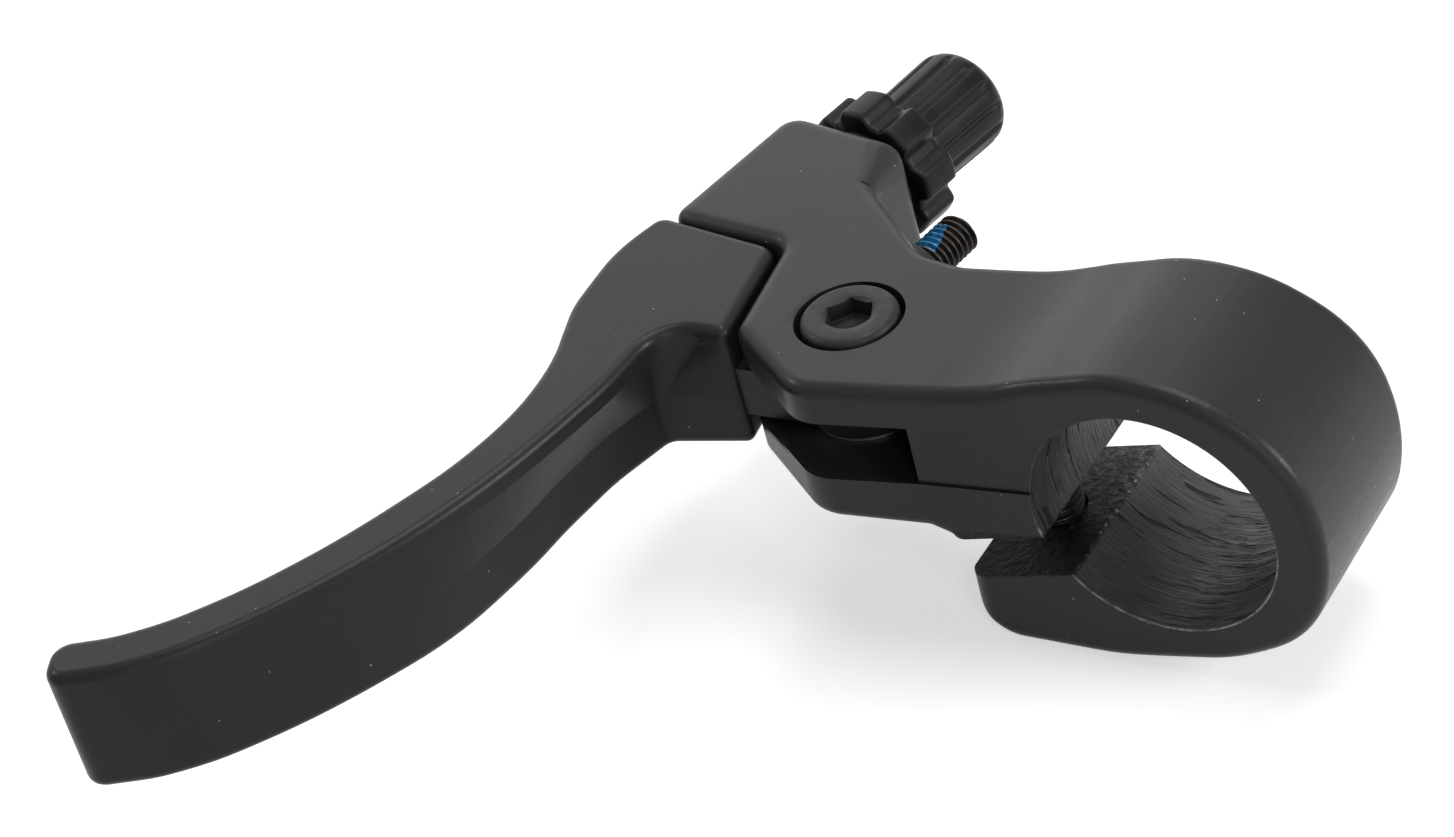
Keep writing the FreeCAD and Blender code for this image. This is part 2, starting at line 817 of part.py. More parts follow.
def scallops(count, radius, centre_radius, start, end, turn_deg):
    """Round cutters set evenly about the barrel's axis."""
    cutters = []
    for step in range(count):
        angle = math.radians(360 * step / count + turn_deg)
        across = centre_radius * math.cos(angle)
        up = centre_radius * math.sin(angle)
        foot = barrel_axis.at(start - cut_margin, across, up)
        cutters.append(Part.makeCylinder(radius, end - start + 2 * cut_margin, foot, barrel_axis.along))
    return cutters


def barrel_adjuster():
    """Hollow threaded stem with a fluted knob that takes the cable's housing."""
    start = knob_start()
    end = start + knob_length
    knob = barrel_axis.cylinder(knob_radius, start, end)
    rims = edges_where(knob, lambda edge, p: edge.Closed)
    knob = knob.makeFillet(knob_round, rims)
    centre_radius = knob_radius - flute_depth + flute_radius
    for cutter in scallops(flute_count, flute_radius, centre_radius, start, end, flute_turn_deg):
        knob = knob.cut(cutter)
    stem_start = boss_end - stem_length
    stem = barrel_axis.cylinder(stem_radius, stem_start, start + knob_round * 2)
    tail = stem_start + 0.01
    inner_end = edges_where(
        stem, lambda edge, p: edge.Closed and (p - barrel_axis.foot).dot(barrel_axis.along) < tail
    )
    stem = stem.makeChamfer(thread_chamfer, inner_end)
    barrel = knob.fuse(stem)
    barrel = barrel.cut(barrel_axis.cylinder(cable_radius, stem_start - cut_margin, end))
    seat = barrel_axis.cylinder(housing_radius, end - housing_depth, end + cut_margin)
    return barrel.cut(seat).removeSplitter()


def barrel_locknut():
    """Scalloped nut that locks the barrel adjuster against the boss."""
    start = boss_end + locknut_gap
    end = start + locknut_length
    nut = barrel_axis.cylinder(locknut_radius, start, end)
    nut = nut.makeFillet(locknut_round, edges_where(nut, lambda edge, p: edge.Closed))
    hub_end = start + locknut_hub_length
    around_hub = barrel_axis.cylinder(locknut_radius + cut_margin, start - cut_margin, hub_end)
    nut = nut.cut(around_hub.cut(barrel_axis.cylinder(locknut_hub_radius, start - cut_margin, hub_end)))
    centre_radius = locknut_radius - lobe_depth + lobe_cut_radius
    for cutter in scallops(lobe_count, lobe_cut_radius, centre_radius, start, end, lobe_turn_deg):
        nut = nut.cut(cutter)
    bore = barrel_axis.cylinder(stem_radius + running_gap, start - cut_margin, end + cut_margin)
    return nut.cut(bore).removeSplitter()


def patch_sector(inner, outer):
    """Curved plate about the reach screw, between two radii."""
    start = reach_axis.at(reach_tip - patch_from_tip)
    ring = Part.makeCylinder(outer, patch_length, start, reach_axis.along, patch_span_deg)
    core = Part.makeCylinder(inner, patch_length, start, reach_axis.along)
    sector = ring.cut(core)
    sector.rotate(start, reach_axis.along, patch_from_deg)
    return sector


def reach_screw():
    """Headless screw that sets how far the blade rests from the bar."""
    start = reach_tip - reach_length
    screw = reach_axis.cylinder(reach_radius, start, reach_tip)
    screw = screw.makeChamfer(thread_chamfer, edges_where(screw, lambda edge, p: edge.Closed))
    socket_floor = reach_axis.at(reach_tip - reach_hex_depth)
    socket = hexagon(reach_hex, reach_hex_depth, socket_floor, reach_axis.along)
    groove = patch_sector(reach_radius - patch_depth, reach_radius + cut_margin)
    return screw.cut(socket).cut(groove)


def reach_screw_patch():
    """Nylon patch let into the reach screw's thread, which keeps it from turning loose."""
    return patch_sector(reach_radius - patch_depth, reach_radius + patch_proud)


NODES = {
    "lever_bracket": lever_bracket,
    "lever_blade": lever_blade,
    "pivot_bolt": pivot_bolt,
    "pivot_bush": pivot_bush,
    "pivot_washer_upper": lambda: pivot_washer(slot_top - pivot_washer_thick - seat_gap / 2),
    "pivot_washer_lower": lambda: pivot_washer(slot_bottom + seat_gap / 2),
    "pivot_nut": pivot_nut,
    "clamp_bolt": clamp_bolt,
    "clamp_washer": clamp_washer,
    "barrel_adjuster": barrel_adjuster,
    "barrel_locknut": barrel_locknut,
    "reach_screw": reach_screw,
    "reach_screw_patch": reach_screw_patch,
}

os.makedirs("parts", exist_ok=True)
for name, make in NODES.items():
    solid = make()
    solid.exportStep(f"parts/{name}.step")
    print(name, "valid" if solid.isValid() else "NOT VALID", len(solid.Solids), round(solid.Volume, 2))
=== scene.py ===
"""Looks of a bicycle brake lever: powder-coated castings, black fasteners and a cable adjuster.

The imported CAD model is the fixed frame. Castings and small plain parts keep their CAD shape and
get a finish. Threaded, fluted and lobed parts are built here, because their ridges are too fine
for the CAD. Lengths in the size classes are millimetres, and meshes are metres.
"""

import logging
import math
from dataclasses import dataclass, field
from enum import Enum
from functools import reduce
from typing import Callable, Sequence

import bmesh
import bpy
from mathutils import Matrix, Vector


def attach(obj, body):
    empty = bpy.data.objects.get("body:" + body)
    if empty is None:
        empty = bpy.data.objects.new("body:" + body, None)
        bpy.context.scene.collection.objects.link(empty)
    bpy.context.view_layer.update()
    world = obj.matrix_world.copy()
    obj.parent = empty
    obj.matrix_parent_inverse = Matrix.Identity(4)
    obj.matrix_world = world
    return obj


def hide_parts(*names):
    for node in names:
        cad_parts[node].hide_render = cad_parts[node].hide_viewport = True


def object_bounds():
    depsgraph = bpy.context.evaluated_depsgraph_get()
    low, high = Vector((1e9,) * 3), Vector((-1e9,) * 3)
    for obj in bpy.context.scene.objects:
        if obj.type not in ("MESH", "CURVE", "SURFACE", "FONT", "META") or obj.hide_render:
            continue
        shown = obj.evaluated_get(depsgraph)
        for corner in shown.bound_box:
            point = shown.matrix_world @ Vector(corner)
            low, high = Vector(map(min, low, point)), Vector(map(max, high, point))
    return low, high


LOG = logging.getLogger("brake_lever")
MM = 0.001
FULL_TURN = 2 * math.pi
WELD_DISTANCE = 1e-6
SHARP_FROM_DEG = 32.0
UP = Vector((0.0, 0.0, 1.0))
SURFACE_INPUTS = ("Base Color", "Roughness", "Normal", "Specular IOR Level", "Metallic")
UPRIGHT_FROM = 0.99
RIDGE_FLANK = (0.14, 0.98)

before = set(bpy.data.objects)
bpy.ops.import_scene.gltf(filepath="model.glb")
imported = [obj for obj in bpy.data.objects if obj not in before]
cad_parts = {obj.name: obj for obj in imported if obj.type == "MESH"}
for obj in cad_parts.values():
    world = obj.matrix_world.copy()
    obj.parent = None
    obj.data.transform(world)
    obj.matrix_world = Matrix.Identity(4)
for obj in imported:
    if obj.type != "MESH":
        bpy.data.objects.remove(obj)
CAD_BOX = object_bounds()

Triple = tuple[float, float, float]
Colour = Triple
Point = tuple[float, float]
Ring = Callable[[float], Point]
Socket = bpy.types.NodeSocket
Source = Socket | float | tuple | None
Sockets = tuple[Socket, Socket, Socket]


class Body(Enum):
    """The CAD bodies that the pieces ride on."""

    BRACKET = "bracket"
    BARREL = "barrel"
    LOCKNUT = "locknut"
    REACH = "reach"


class Slot(Enum):
    """The record's material slots."""

    BRACKET_PAINT = "bracket_paint"
    BLADE_PAINT = "blade_paint"
    BLACK_STEEL = "black_steel"
    PLAIN_STEEL = "plain_steel"
    BUSH_PLASTIC = "bush_plastic"
    BARREL = "barrel_anodised"
    PATCH = "patch_nylon"


class Nodes:
    """Short calls for the nodes of one tree."""

    def __init__(self, tree: bpy.types.NodeTree) -> None:
        """Takes the tree to build in."""
        self.tree = tree

    def feed(self, socket: Socket, source: Source) -> None:
        """Links an input or sets its value.

        Args:
            socket: The input.
            source: An output, a number, a vector or a colour, or None to leave the input alone.
        """
        if isinstance(source, Socket):
            self.tree.links.new(source, socket)
        elif source is not None:
            socket.default_value = (*source, 1.0) if socket.type == "RGBA" else source

    def node(self, kind: str, *sources: Source, **settings) -> bpy.types.Node:
        """Adds a node.

        Args:
            kind: The node's type name.
            *sources: What feeds each input that the settings enable, in order.
            **settings: Properties of the node.

        Returns:
            The new node.
        """
        made = self.tree.nodes.new(kind)
        for key, value in settings.items():
            setattr(made, key, value)
        for socket, source in zip([s for s in made.inputs if s.enabled], sources):
            self.feed(socket, source)
        return made

    def result(self, kind: str, *sources: Source, **settings) -> Socket:
        """First output in use of a new node."""
        return next(s for s in self.node(kind, *sources, **settings).outputs if s.enabled)

    def math(self, operation: str, *values: Source) -> Socket:
        """Result of a Math node."""
        return self.result("ShaderNodeMath", *values, operation=operation)

    def product(self, *values: Source) -> Socket:
        """All the values multiplied."""
        return reduce(lambda first, second: self.math("MULTIPLY", first, second), values)

    def less(self, value: Source, taken: Source) -> Socket:
        """A value less another."""
        return self.math("SUBTRACT", value, taken)

    def ranged(self, value: Source, *ends: Source) -> Socket:
        """Smooth step of a value between two ends, as 0 to 1 or as the next two numbers."""
        return self.result("ShaderNodeMapRange", value, *ends, interpolation_type="SMOOTHSTEP")


class Graph(Nodes):
    """A material's node tree, with the patterns that the finishes use."""

    def __init__(self, name: str) -> None:
        """Starts a material of the given name with one Principled shader."""
        self.material = bpy.data.materials.new(name)
        self.material.use_nodes = True
        super().__init__(self.material.node_tree)
        self.shader = self.tree.nodes["Principled BSDF"]
        self.place = self.node("ShaderNodeTexCoord").outputs["Object"]

    def surface(self, *sources: Source) -> bpy.types.Material:
        """Feeds the shader.

        Args:
            *sources: Its colour, roughness, normal, specular level and metal, or the first few.

        Returns:
            The material.
        """
        for name, source in zip(SURFACE_INPUTS, sources):
            self.feed(self.shader.inputs[name], source)
        return self.material

    def stepped(self, length: Source, start: float, end: float, *results: float) -> Socket:
        """Smooth step of a length between two ends in millimetres, else like ranged."""
        return self.ranged(length, start * MM, end * MM, *results)

    def noise(self, scale: float, detail: float, place: Source = None) -> Socket:
        """Noise value.

        Args:
            scale: Features per metre.
            detail: Octaves of finer noise.
            place: Coordinates to read, or None for the object's own.

        Returns:
            The socket of the value.
        """
        place = self.place if place is None else place
        return self.result("ShaderNodeTexNoise", place, scale, detail)

    def streaks(self, scales: Triple, detail: float, place: Source = None) -> Socket:
        """Noise with its own features per metre along each axis."""
        place = self.place if place is None else place
        return self.noise(1.0, detail, self.result("ShaderNodeMapping", place, None, None, scales))

    def mixed(self, share: Source, first: Source, second: Source, kind: str = "RGBA") -> Socket:
        """Between two colours, or two of another kind, such as FLOAT or VECTOR."""
        return self.result("ShaderNodeMix", share, first, second, data_type=kind)

    def bump(self, height: Source, depth: float, strength: float, under: Source = None) -> Socket:
        """Normal of a bumpy surface.

        Args:
            height: Socket of the height, from 0 to 1.
            depth: Height of the bumps in millimetres.
            strength: Share of the bump that is used.
            under: Normal of a coarser bump below it.

        Returns:
            The socket of the normal.
        """
        return self.result("ShaderNodeBump", strength, depth * MM, None, height, under)

    def vector(self, operation: str, *values: Source) -> Socket:
        """Result of a Vector Math node."""
        return self.result("ShaderNodeVectorMath", *values, operation=operation)

    def off_axis(self, foot: Vector, along: Vector) -> Socket:
        """Distance in metres from an axis whose foot is given in millimetres."""
        arm = self.vector("SUBTRACT", self.place, tuple(foot * MM))
        return self.vector("LENGTH", self.vector("CROSS_PRODUCT", arm, tuple(along)))

    def specks(self, scale: float, size: float, share: float) -> Socket:
        """Mask of small scattered dots.

        Args:
            scale: Cells per metre.
            size: Dot's radius as a share of a cell.
            share: Share of the cells that have a dot.

        Returns:
            The socket of the mask, 1 in a dot.
        """
        cells = self.node("ShaderNodeTexVoronoi", self.place, scale)
        dot = self.ranged(cells.outputs["Distance"], size, size * 0.5)
        chance = self.result("ShaderNodeSeparateColor", cells.outputs["Color"])
        return self.product(dot, self.math("LESS_THAN", chance, share))


@dataclass(frozen=True)
class PowderCoat:
    """Satin black powder coat: orange peel, slow waves of the casting below, and white dust.

    Dust is given as cells per metre, dot size and share of cells, as Graph.specks takes them.
    """

    name: str
    colour: Colour = (0.0215, 0.0196, 0.0202)
    specular: float = 0.18
    roughness: float = 0.335
    patch_scale: float = 75.0
    patch_shade: float = 0.84
    wave_scale: float = 150.0
    wave_depth: float = 0.06
    peel_scale: float = 3200.0
    peel_depth: float = 0.010
    dust: Colour = (0.34, 0.33, 0.33)
    coarse_dust: Triple = (210.0, 0.021, 1.0)
    fine_dust: Triple = (430.0, 0.034, 0.9)

    def material(self) -> bpy.types.Material:
        """The plain coat."""
        graph = Graph(self.name)
        self.coat(graph)
        return graph.material

    def coat(self, graph: Graph, under: Source = None) -> Sockets:
        """Wires the coat into a graph.

        Args:
            graph: The material's graph.
            under: Normal of the surface below the coat, or None for the mesh's own.

        Returns:
            The sockets of the colour, the roughness and the normal.
        """
        patches = graph.ranged(graph.noise(self.patch_scale, 4.0), 0.3, 0.7)
        darker = tuple(part * self.patch_shade for part in self.colour)
        dust = graph.math("MAXIMUM", graph.specks(*self.coarse_dust), graph.specks(*self.fine_dust))
        colour = graph.mixed(dust, graph.mixed(patches, darker, self.colour), self.dust)
        grain = graph.noise(self.peel_scale, 2.0)
        rough = graph.ranged(grain, 0.25, 0.75, self.roughness - 0.04, self.roughness + 0.05)
        waves = graph.bump(graph.noise(self.wave_scale, 1.0), self.wave_depth, 0.35, under)
        normal = graph.bump(grain, self.peel_depth, 0.7, waves)
        graph.surface(colour, rough, normal, self.specular)
        return colour, rough, normal


@dataclass(frozen=True)
class ClampPaint:
    """Powder coat of the bracket, with the clamp's torn boring marks and rough sawn faces, both
    carrying painted light and shade.

    The bore runs along y through the origin. The gap lies between the roof and a floor that is
    level up to the split's edge and falls from there to the jaw's tip. Softened edges on the
    barrel boss come from a bevelled normal. Streaks are given in features per metre along each
    axis, in the unrolled bore.
    """

    coat: PowderCoat
    bore_radius: float = 11.15
    half_width: float = 9.05
    roof: float = -3.2
    split_top: float = -7.1
    split_fall: float = 0.225
    split_edge_x: float = -8.6
    jaw_reach: float = -19.25
    boss_from: float = -36.0
    boss_fade: float = 2.0
    soft_radius: float = 1.3
    tear_depth: float = 0.30
    tear_streaks: Triple = (110.0, 950.0, 1.0)
    nick_streaks: Triple = (330.0, 2100.0, 1.0)
    line_depth: float = 0.13
    line_streaks: Triple = (190.0, 3400.0, 1.0)
    drift_scale: float = 60.0
    drift: float = 1.9
    wobble_scale: float = 520.0
    wobble: float = 0.35
    grit_scale: float = 3000.0
    lump_scale: float = 1100.0
    grit_depth: float = 0.30
    flake_scale: float = 1500.0
    burr_scale: float = 900.0
    bored: Colour = (0.062, 0.060, 0.061)
    # Painted highlight: the paler colour on the crests of the fine boring lines.
    crest: Colour = (0.200, 0.194, 0.190)
    # Painted shade: the near-black colour in the torn pits.
    pit_shade: Colour = (0.006, 0.006, 0.006)
    sawn: Colour = (0.007, 0.007, 0.007)
    # Painted glint: pale flecks on the high points of the sawn faces' grit.
    painted_fleck_glint: Colour = (0.11, 0.105, 0.10)
    chip: Colour = (0.42, 0.41, 0.40)
    bored_roughness: float = 0.34
    sawn_roughness: float = 0.55

    def material(self) -> bpy.types.Material:
        """The coat with the machined places."""
        graph = Graph(self.coat.name)
        at = tuple(graph.node("ShaderNodeSeparateXYZ", graph.place).outputs)
        x, y, z = at
        boss = graph.stepped(x, self.boss_from + self.boss_fade, self.boss_from)
        soft = graph.result("ShaderNodeBevel", self.soft_radius * MM, samples=8)
        sharp = graph.node("ShaderNodeNewGeometry").outputs["Normal"]
        under = graph.mixed(boss, sharp, soft, "VECTOR")
        colour, rough, coated = self.coat.coat(graph, under)
        radius = graph.math("SQRT", graph.math("ADD", graph.product(x, x), graph.product(z, z)))
        bore = graph.stepped(radius, self.bore_radius + 0.12, self.bore_radius + 0.04)
        gap = self.sawn_faces(graph, at)
        torn, lines, crests = self.boring(graph, at)
        height = graph.less(graph.product(lines, self.line_depth / self.tear_depth), torn)
        bored = graph.bump(height, self.tear_depth, 0.9, coated)
        lumps = graph.noise(self.lump_scale, 5.0)
        grit = graph.math("MULTIPLY_ADD", graph.noise(self.grit_scale, 3.0), 0.5, lumps)
        cut = graph.bump(grit, self.grit_depth, 0.8, coated)
        normal = graph.mixed(gap, graph.mixed(bore, coated, bored, "VECTOR"), cut, "VECTOR")
        # Painted light and shade: the bore is painted paler on the line crests and near-black in
        # the torn pits.
        bare = graph.mixed(torn, graph.mixed(crests, self.bored, self.crest), self.pit_shade)
        # Painted glints and painted shade: pale flecks on the grit's high points, thinned towards
        # the near side of the gap faces, so that side is painted darker where the arm above shades
        # it.
        painted_shade_falloff = graph.stepped(y, -6.0, 3.0, 0.12, 1.0)
        painted_glints = graph.product(graph.ranged(grit, 0.66, 0.95), painted_shade_falloff)
        sawn_with_painted_light = graph.mixed(painted_glints, self.sawn, self.painted_fleck_glint)
        colour = graph.mixed(gap, graph.mixed(bore, colour, bare), sawn_with_painted_light)
        colour = graph.mixed(self.chips(graph, at, radius), colour, self.chip)
        rough = graph.mixed(gap, rough, self.sawn_roughness, "FLOAT")
        rough = graph.mixed(bore, rough, self.bored_roughness, "FLOAT")
        return graph.surface(colour, rough, normal)

    def boring(self, graph: Graph, at: Sockets) -> Sockets:
        """Marks of the boring bar, which run round the bore.

        Args:
            graph: The material's graph.
            at: The sockets of x, y and z.

        Returns:
            The sockets of the torn pits, the fine lines and their crests, which the bore's colour
            uses for painted shade and painted highlight.
        """
        x, y, z = at
        angle = graph.math("ARCTAN2", z, graph.product(x, -1.0))
        arc = graph.product(angle, self.bore_radius * MM)
        unrolled = graph.result("ShaderNodeCombineXYZ", arc, y)
        wavy = graph.noise(self.wobble_scale, 2.0, unrolled)
        shifted = graph.math("MULTIPLY_ADD", wavy, self.wobble * MM, y)
        slow = graph.noise(self.drift_scale, 2.0, unrolled)
        shifted = graph.math("MULTIPLY_ADD", slow, self.drift * MM, shifted)
        swept = graph.result("ShaderNodeCombineXYZ", arc, shifted)
        busy = graph.stepped(x, -4.0, 8.0, 0.25, 1.0)
        tears = graph.ranged(graph.streaks(self.tear_streaks, 2.0, swept), 0.575, 0.64)
        nicks = graph.ranged(graph.streaks(self.nick_streaks, 3.0, swept), 0.58, 0.66)
        fine = graph.streaks(self.line_streaks, 3.0, swept)
        torn = graph.math("MAXIMUM", tears, graph.product(nicks, busy))
        lines = graph.product(graph.ranged(fine, 0.40, 0.60), busy)
        return torn, lines, graph.product(graph.ranged(fine, 0.52, 0.70), busy)

    def sawn_faces(self, graph: Graph, at: Sockets) -> Socket:
        """Mask of the two faces of the clamp's gap.

        Args:
            graph: The material's graph.
            at: The sockets of x, y and z.

        Returns:
            The socket of the mask.
        """
        x, _, z = at
        past_edge = graph.math("MINIMUM", graph.less(x, self.split_edge_x * MM), 0.0)
        floor = graph.math("MULTIPLY_ADD", past_edge, self.split_fall, self.split_top * MM)
        above = graph.stepped(graph.less(z, floor), -0.30, -0.12)
        below = graph.stepped(z, self.roof, self.roof - 0.12)
        outer = graph.stepped(x, self.jaw_reach + 0.12, self.jaw_reach + 0.3)
        inner = graph.stepped(x, self.split_edge_x + 0.5, self.split_edge_x + 0.2)
        return graph.product(above, below, outer, inner)

    def chips(self, graph: Graph, at: Sockets, radius: Socket) -> Socket:
        """Mask of pale chips on the saw cut's edge and of the burr on the bore's near rim.

        Args:
            graph: The material's graph.
            at: The sockets of x, y and z.
            radius: Socket of the distance from the bore's axis.

        Returns:
            The socket of the mask.
        """
        x, y, z = at
        aside = graph.math("ABSOLUTE", graph.less(x, self.split_edge_x * MM))
        drop = graph.math("ABSOLUTE", graph.less(z, self.split_top * MM))
        edge = graph.stepped(graph.math("MAXIMUM", aside, drop), 0.26, 0.10)
        flaked = graph.ranged(graph.noise(self.flake_scale, 3.0), 0.58, 0.66)
        rim = graph.stepped(radius, self.bore_radius + 0.20, self.bore_radius + 0.08)
        near = graph.stepped(y, 0.16 - self.half_width, 0.06 - self.half_width)
        low = graph.stepped(z, -1.0, -3.0)
        broken = graph.ranged(graph.noise(self.burr_scale, 3.0), 0.42, 0.62, 0.15, 0.75)
        burr = graph.product(rim, near, low, broken)
        return graph.math("MAXIMUM", graph.product(edge, flaked), burr)


@dataclass(frozen=True)
class BlackSteel:
    """Blackened steel, with faint grain and paler rubbed ridges."""

    name: str
    colour: Colour = (0.020, 0.0195, 0.020)
    rubbed: Colour = (0.055, 0.053, 0.052)
    roughness: float = 0.42
    specular: float = 0.17
    grain_scale: float = 1500.0
    smear_scale: float = 700.0

    def material(self) -> bpy.types.Material:
        """The finish as a material."""
        graph = Graph(self.name)
        grain = graph.noise(self.grain_scale, 4.0)
        colour = graph.mixed(graph.ranged(grain, 0.5, 0.85, 0.0, 0.5), self.colour, self.rubbed)
        smears = graph.noise(self.smear_scale, 2.0)
        rough = graph.ranged(smears, 0.3, 0.7, self.roughness - 0.06, self.roughness + 0.1)
        return graph.surface(colour, rough, graph.bump(grain, 0.01, 0.6), self.specular)


@dataclass(frozen=True)
class RubbedThread:
    """Blackened thread: dark, brownish flanks and bare grey crests.

    The rub starts and is full at shares of the thread's depth below the crest.
    """

    name: str
    foot: Vector
    along: Vector
    crest: float
    depth: float
    bare: Colour = (0.062, 0.054, 0.049)
    flank: Colour = (0.0075, 0.0065, 0.006)
    rust: Colour = (0.030, 0.019, 0.013)
    specular: float = 0.2
    rust_scale: float = 900.0
    rub_scale: float = 1300.0
    grain_scale: float = 2600.0
    rub_depths: Point = (0.22, 0.03)
    flank_roughness: float = 0.42
    bare_roughness: float = 0.3
    bare_metal: float = 0.4

    def material(self) -> bpy.types.Material:
        """The finish as a material."""
        graph = Graph(self.name)
        stains = graph.ranged(graph.noise(self.rust_scale, 4.0), 0.52, 0.72)
        radius = graph.off_axis(self.foot, self.along)
        ends = [self.crest - self.depth * share for share in self.rub_depths]
        uneven = graph.ranged(graph.noise(self.rub_scale, 2.0), 0.25, 0.5, 0.45, 1.0)
        rubbed = graph.product(graph.stepped(radius, *ends), uneven)
        colour = graph.mixed(rubbed, graph.mixed(stains, self.flank, self.rust), self.bare)
        rough = graph.mixed(rubbed, self.flank_roughness, self.bare_roughness, "FLOAT")
        metal = graph.product(rubbed, self.bare_metal)
        normal = graph.bump(graph.noise(self.grain_scale, 3.0), 0.01, 0.6)
        return graph.surface(colour, rough, normal, self.specular, metal)


@dataclass(frozen=True)
class PlainSteel:
    """Zinc-plated steel of washers and the nut, with soft brushing and dull spots."""

    name: str
    colour: Colour = (0.42, 0.42, 0.43)
    dull: Colour = (0.25, 0.25, 0.25)
    metallic: float = 0.95
    spot_scale: float = 420.0
    brushing: Triple = (300.0, 5000.0, 300.0)

    def material(self) -> bpy.types.Material:
        """The finish as a material."""
        graph = Graph(self.name)
        spots = graph.noise(self.spot_scale, 4.0)
        colour = graph.mixed(graph.ranged(spots, 0.45, 0.75), self.colour, self.dull)
        rough = graph.ranged(spots, 0.3, 0.8, 0.25, 0.45)
        normal = graph.bump(graph.streaks(self.brushing, 2.0), 0.006, 0.7)
        return graph.surface(colour, rough, normal, None, self.metallic)


@dataclass(frozen=True)
class GlossBlack:
    """Black anodised barrel and locknut: smooth, with fine lathe lines across the axis."""

    name: str
    axis: Vector
    colour: Colour = (0.0100, 0.0095, 0.0098)
    paler: float = 1.6
    roughness: float = 0.3
    specular: float = 0.10
    line_pitch: float = 0.09
    line_drift: float = 0.15
    drift_scale: float = 300.0
    smear_scale: float = 260.0
    peel_scale: float = 1400.0
    dust: Colour = (0.4, 0.39, 0.37)
    dust_cells: Triple = (420.0, 0.03, 0.1)

    def material(self) -> bpy.types.Material:
        """The finish as a material."""
        graph = Graph(self.name)
        height = graph.vector("DOT_PRODUCT", graph.place, tuple(self.axis))
        drift = graph.noise(self.drift_scale, 2.0)
        shifted = graph.math("MULTIPLY_ADD", drift, self.line_drift * MM, height)
        lines = graph.math("SINE", graph.product(shifted, FULL_TURN / (self.line_pitch * MM)))
        smears = graph.noise(self.smear_scale, 3.0)
        paler = tuple(part * self.paler for part in self.colour)
        colour = graph.mixed(graph.ranged(smears, 0.4, 0.75), self.colour, paler)
        colour = graph.mixed(graph.specks(*self.dust_cells), colour, self.dust)
        rough = graph.ranged(smears, 0.3, 0.7, self.roughness - 0.04, self.roughness + 0.1)
        peel = graph.bump(graph.noise(self.peel_scale, 2.0), 0.008, 0.7)
        return graph.surface(colour, rough, graph.bump(lines, 0.0012, 0.5, peel), self.specular)


@dataclass(frozen=True)
class MouldedPlastic:
    """Moulded plastic or nylon with a soft surface and uneven tint."""

    name: str
    colour: Colour
    worn: Colour
    roughness: float
    grain_scale: float = 1800.0

    def material(self) -> bpy.types.Material:
        """The finish as a material."""
        graph = Graph(self.name)
        cloud = graph.noise(self.grain_scale, 4.0)
        colour = graph.mixed(graph.ranged(cloud, 0.42, 0.72), self.colour, self.worn)
        rough = graph.ranged(cloud, 0.3, 0.7, self.roughness - 0.08, self.roughness + 0.1)
        return graph.surface(colour, rough, graph.bump(cloud, 0.03, 0.7))


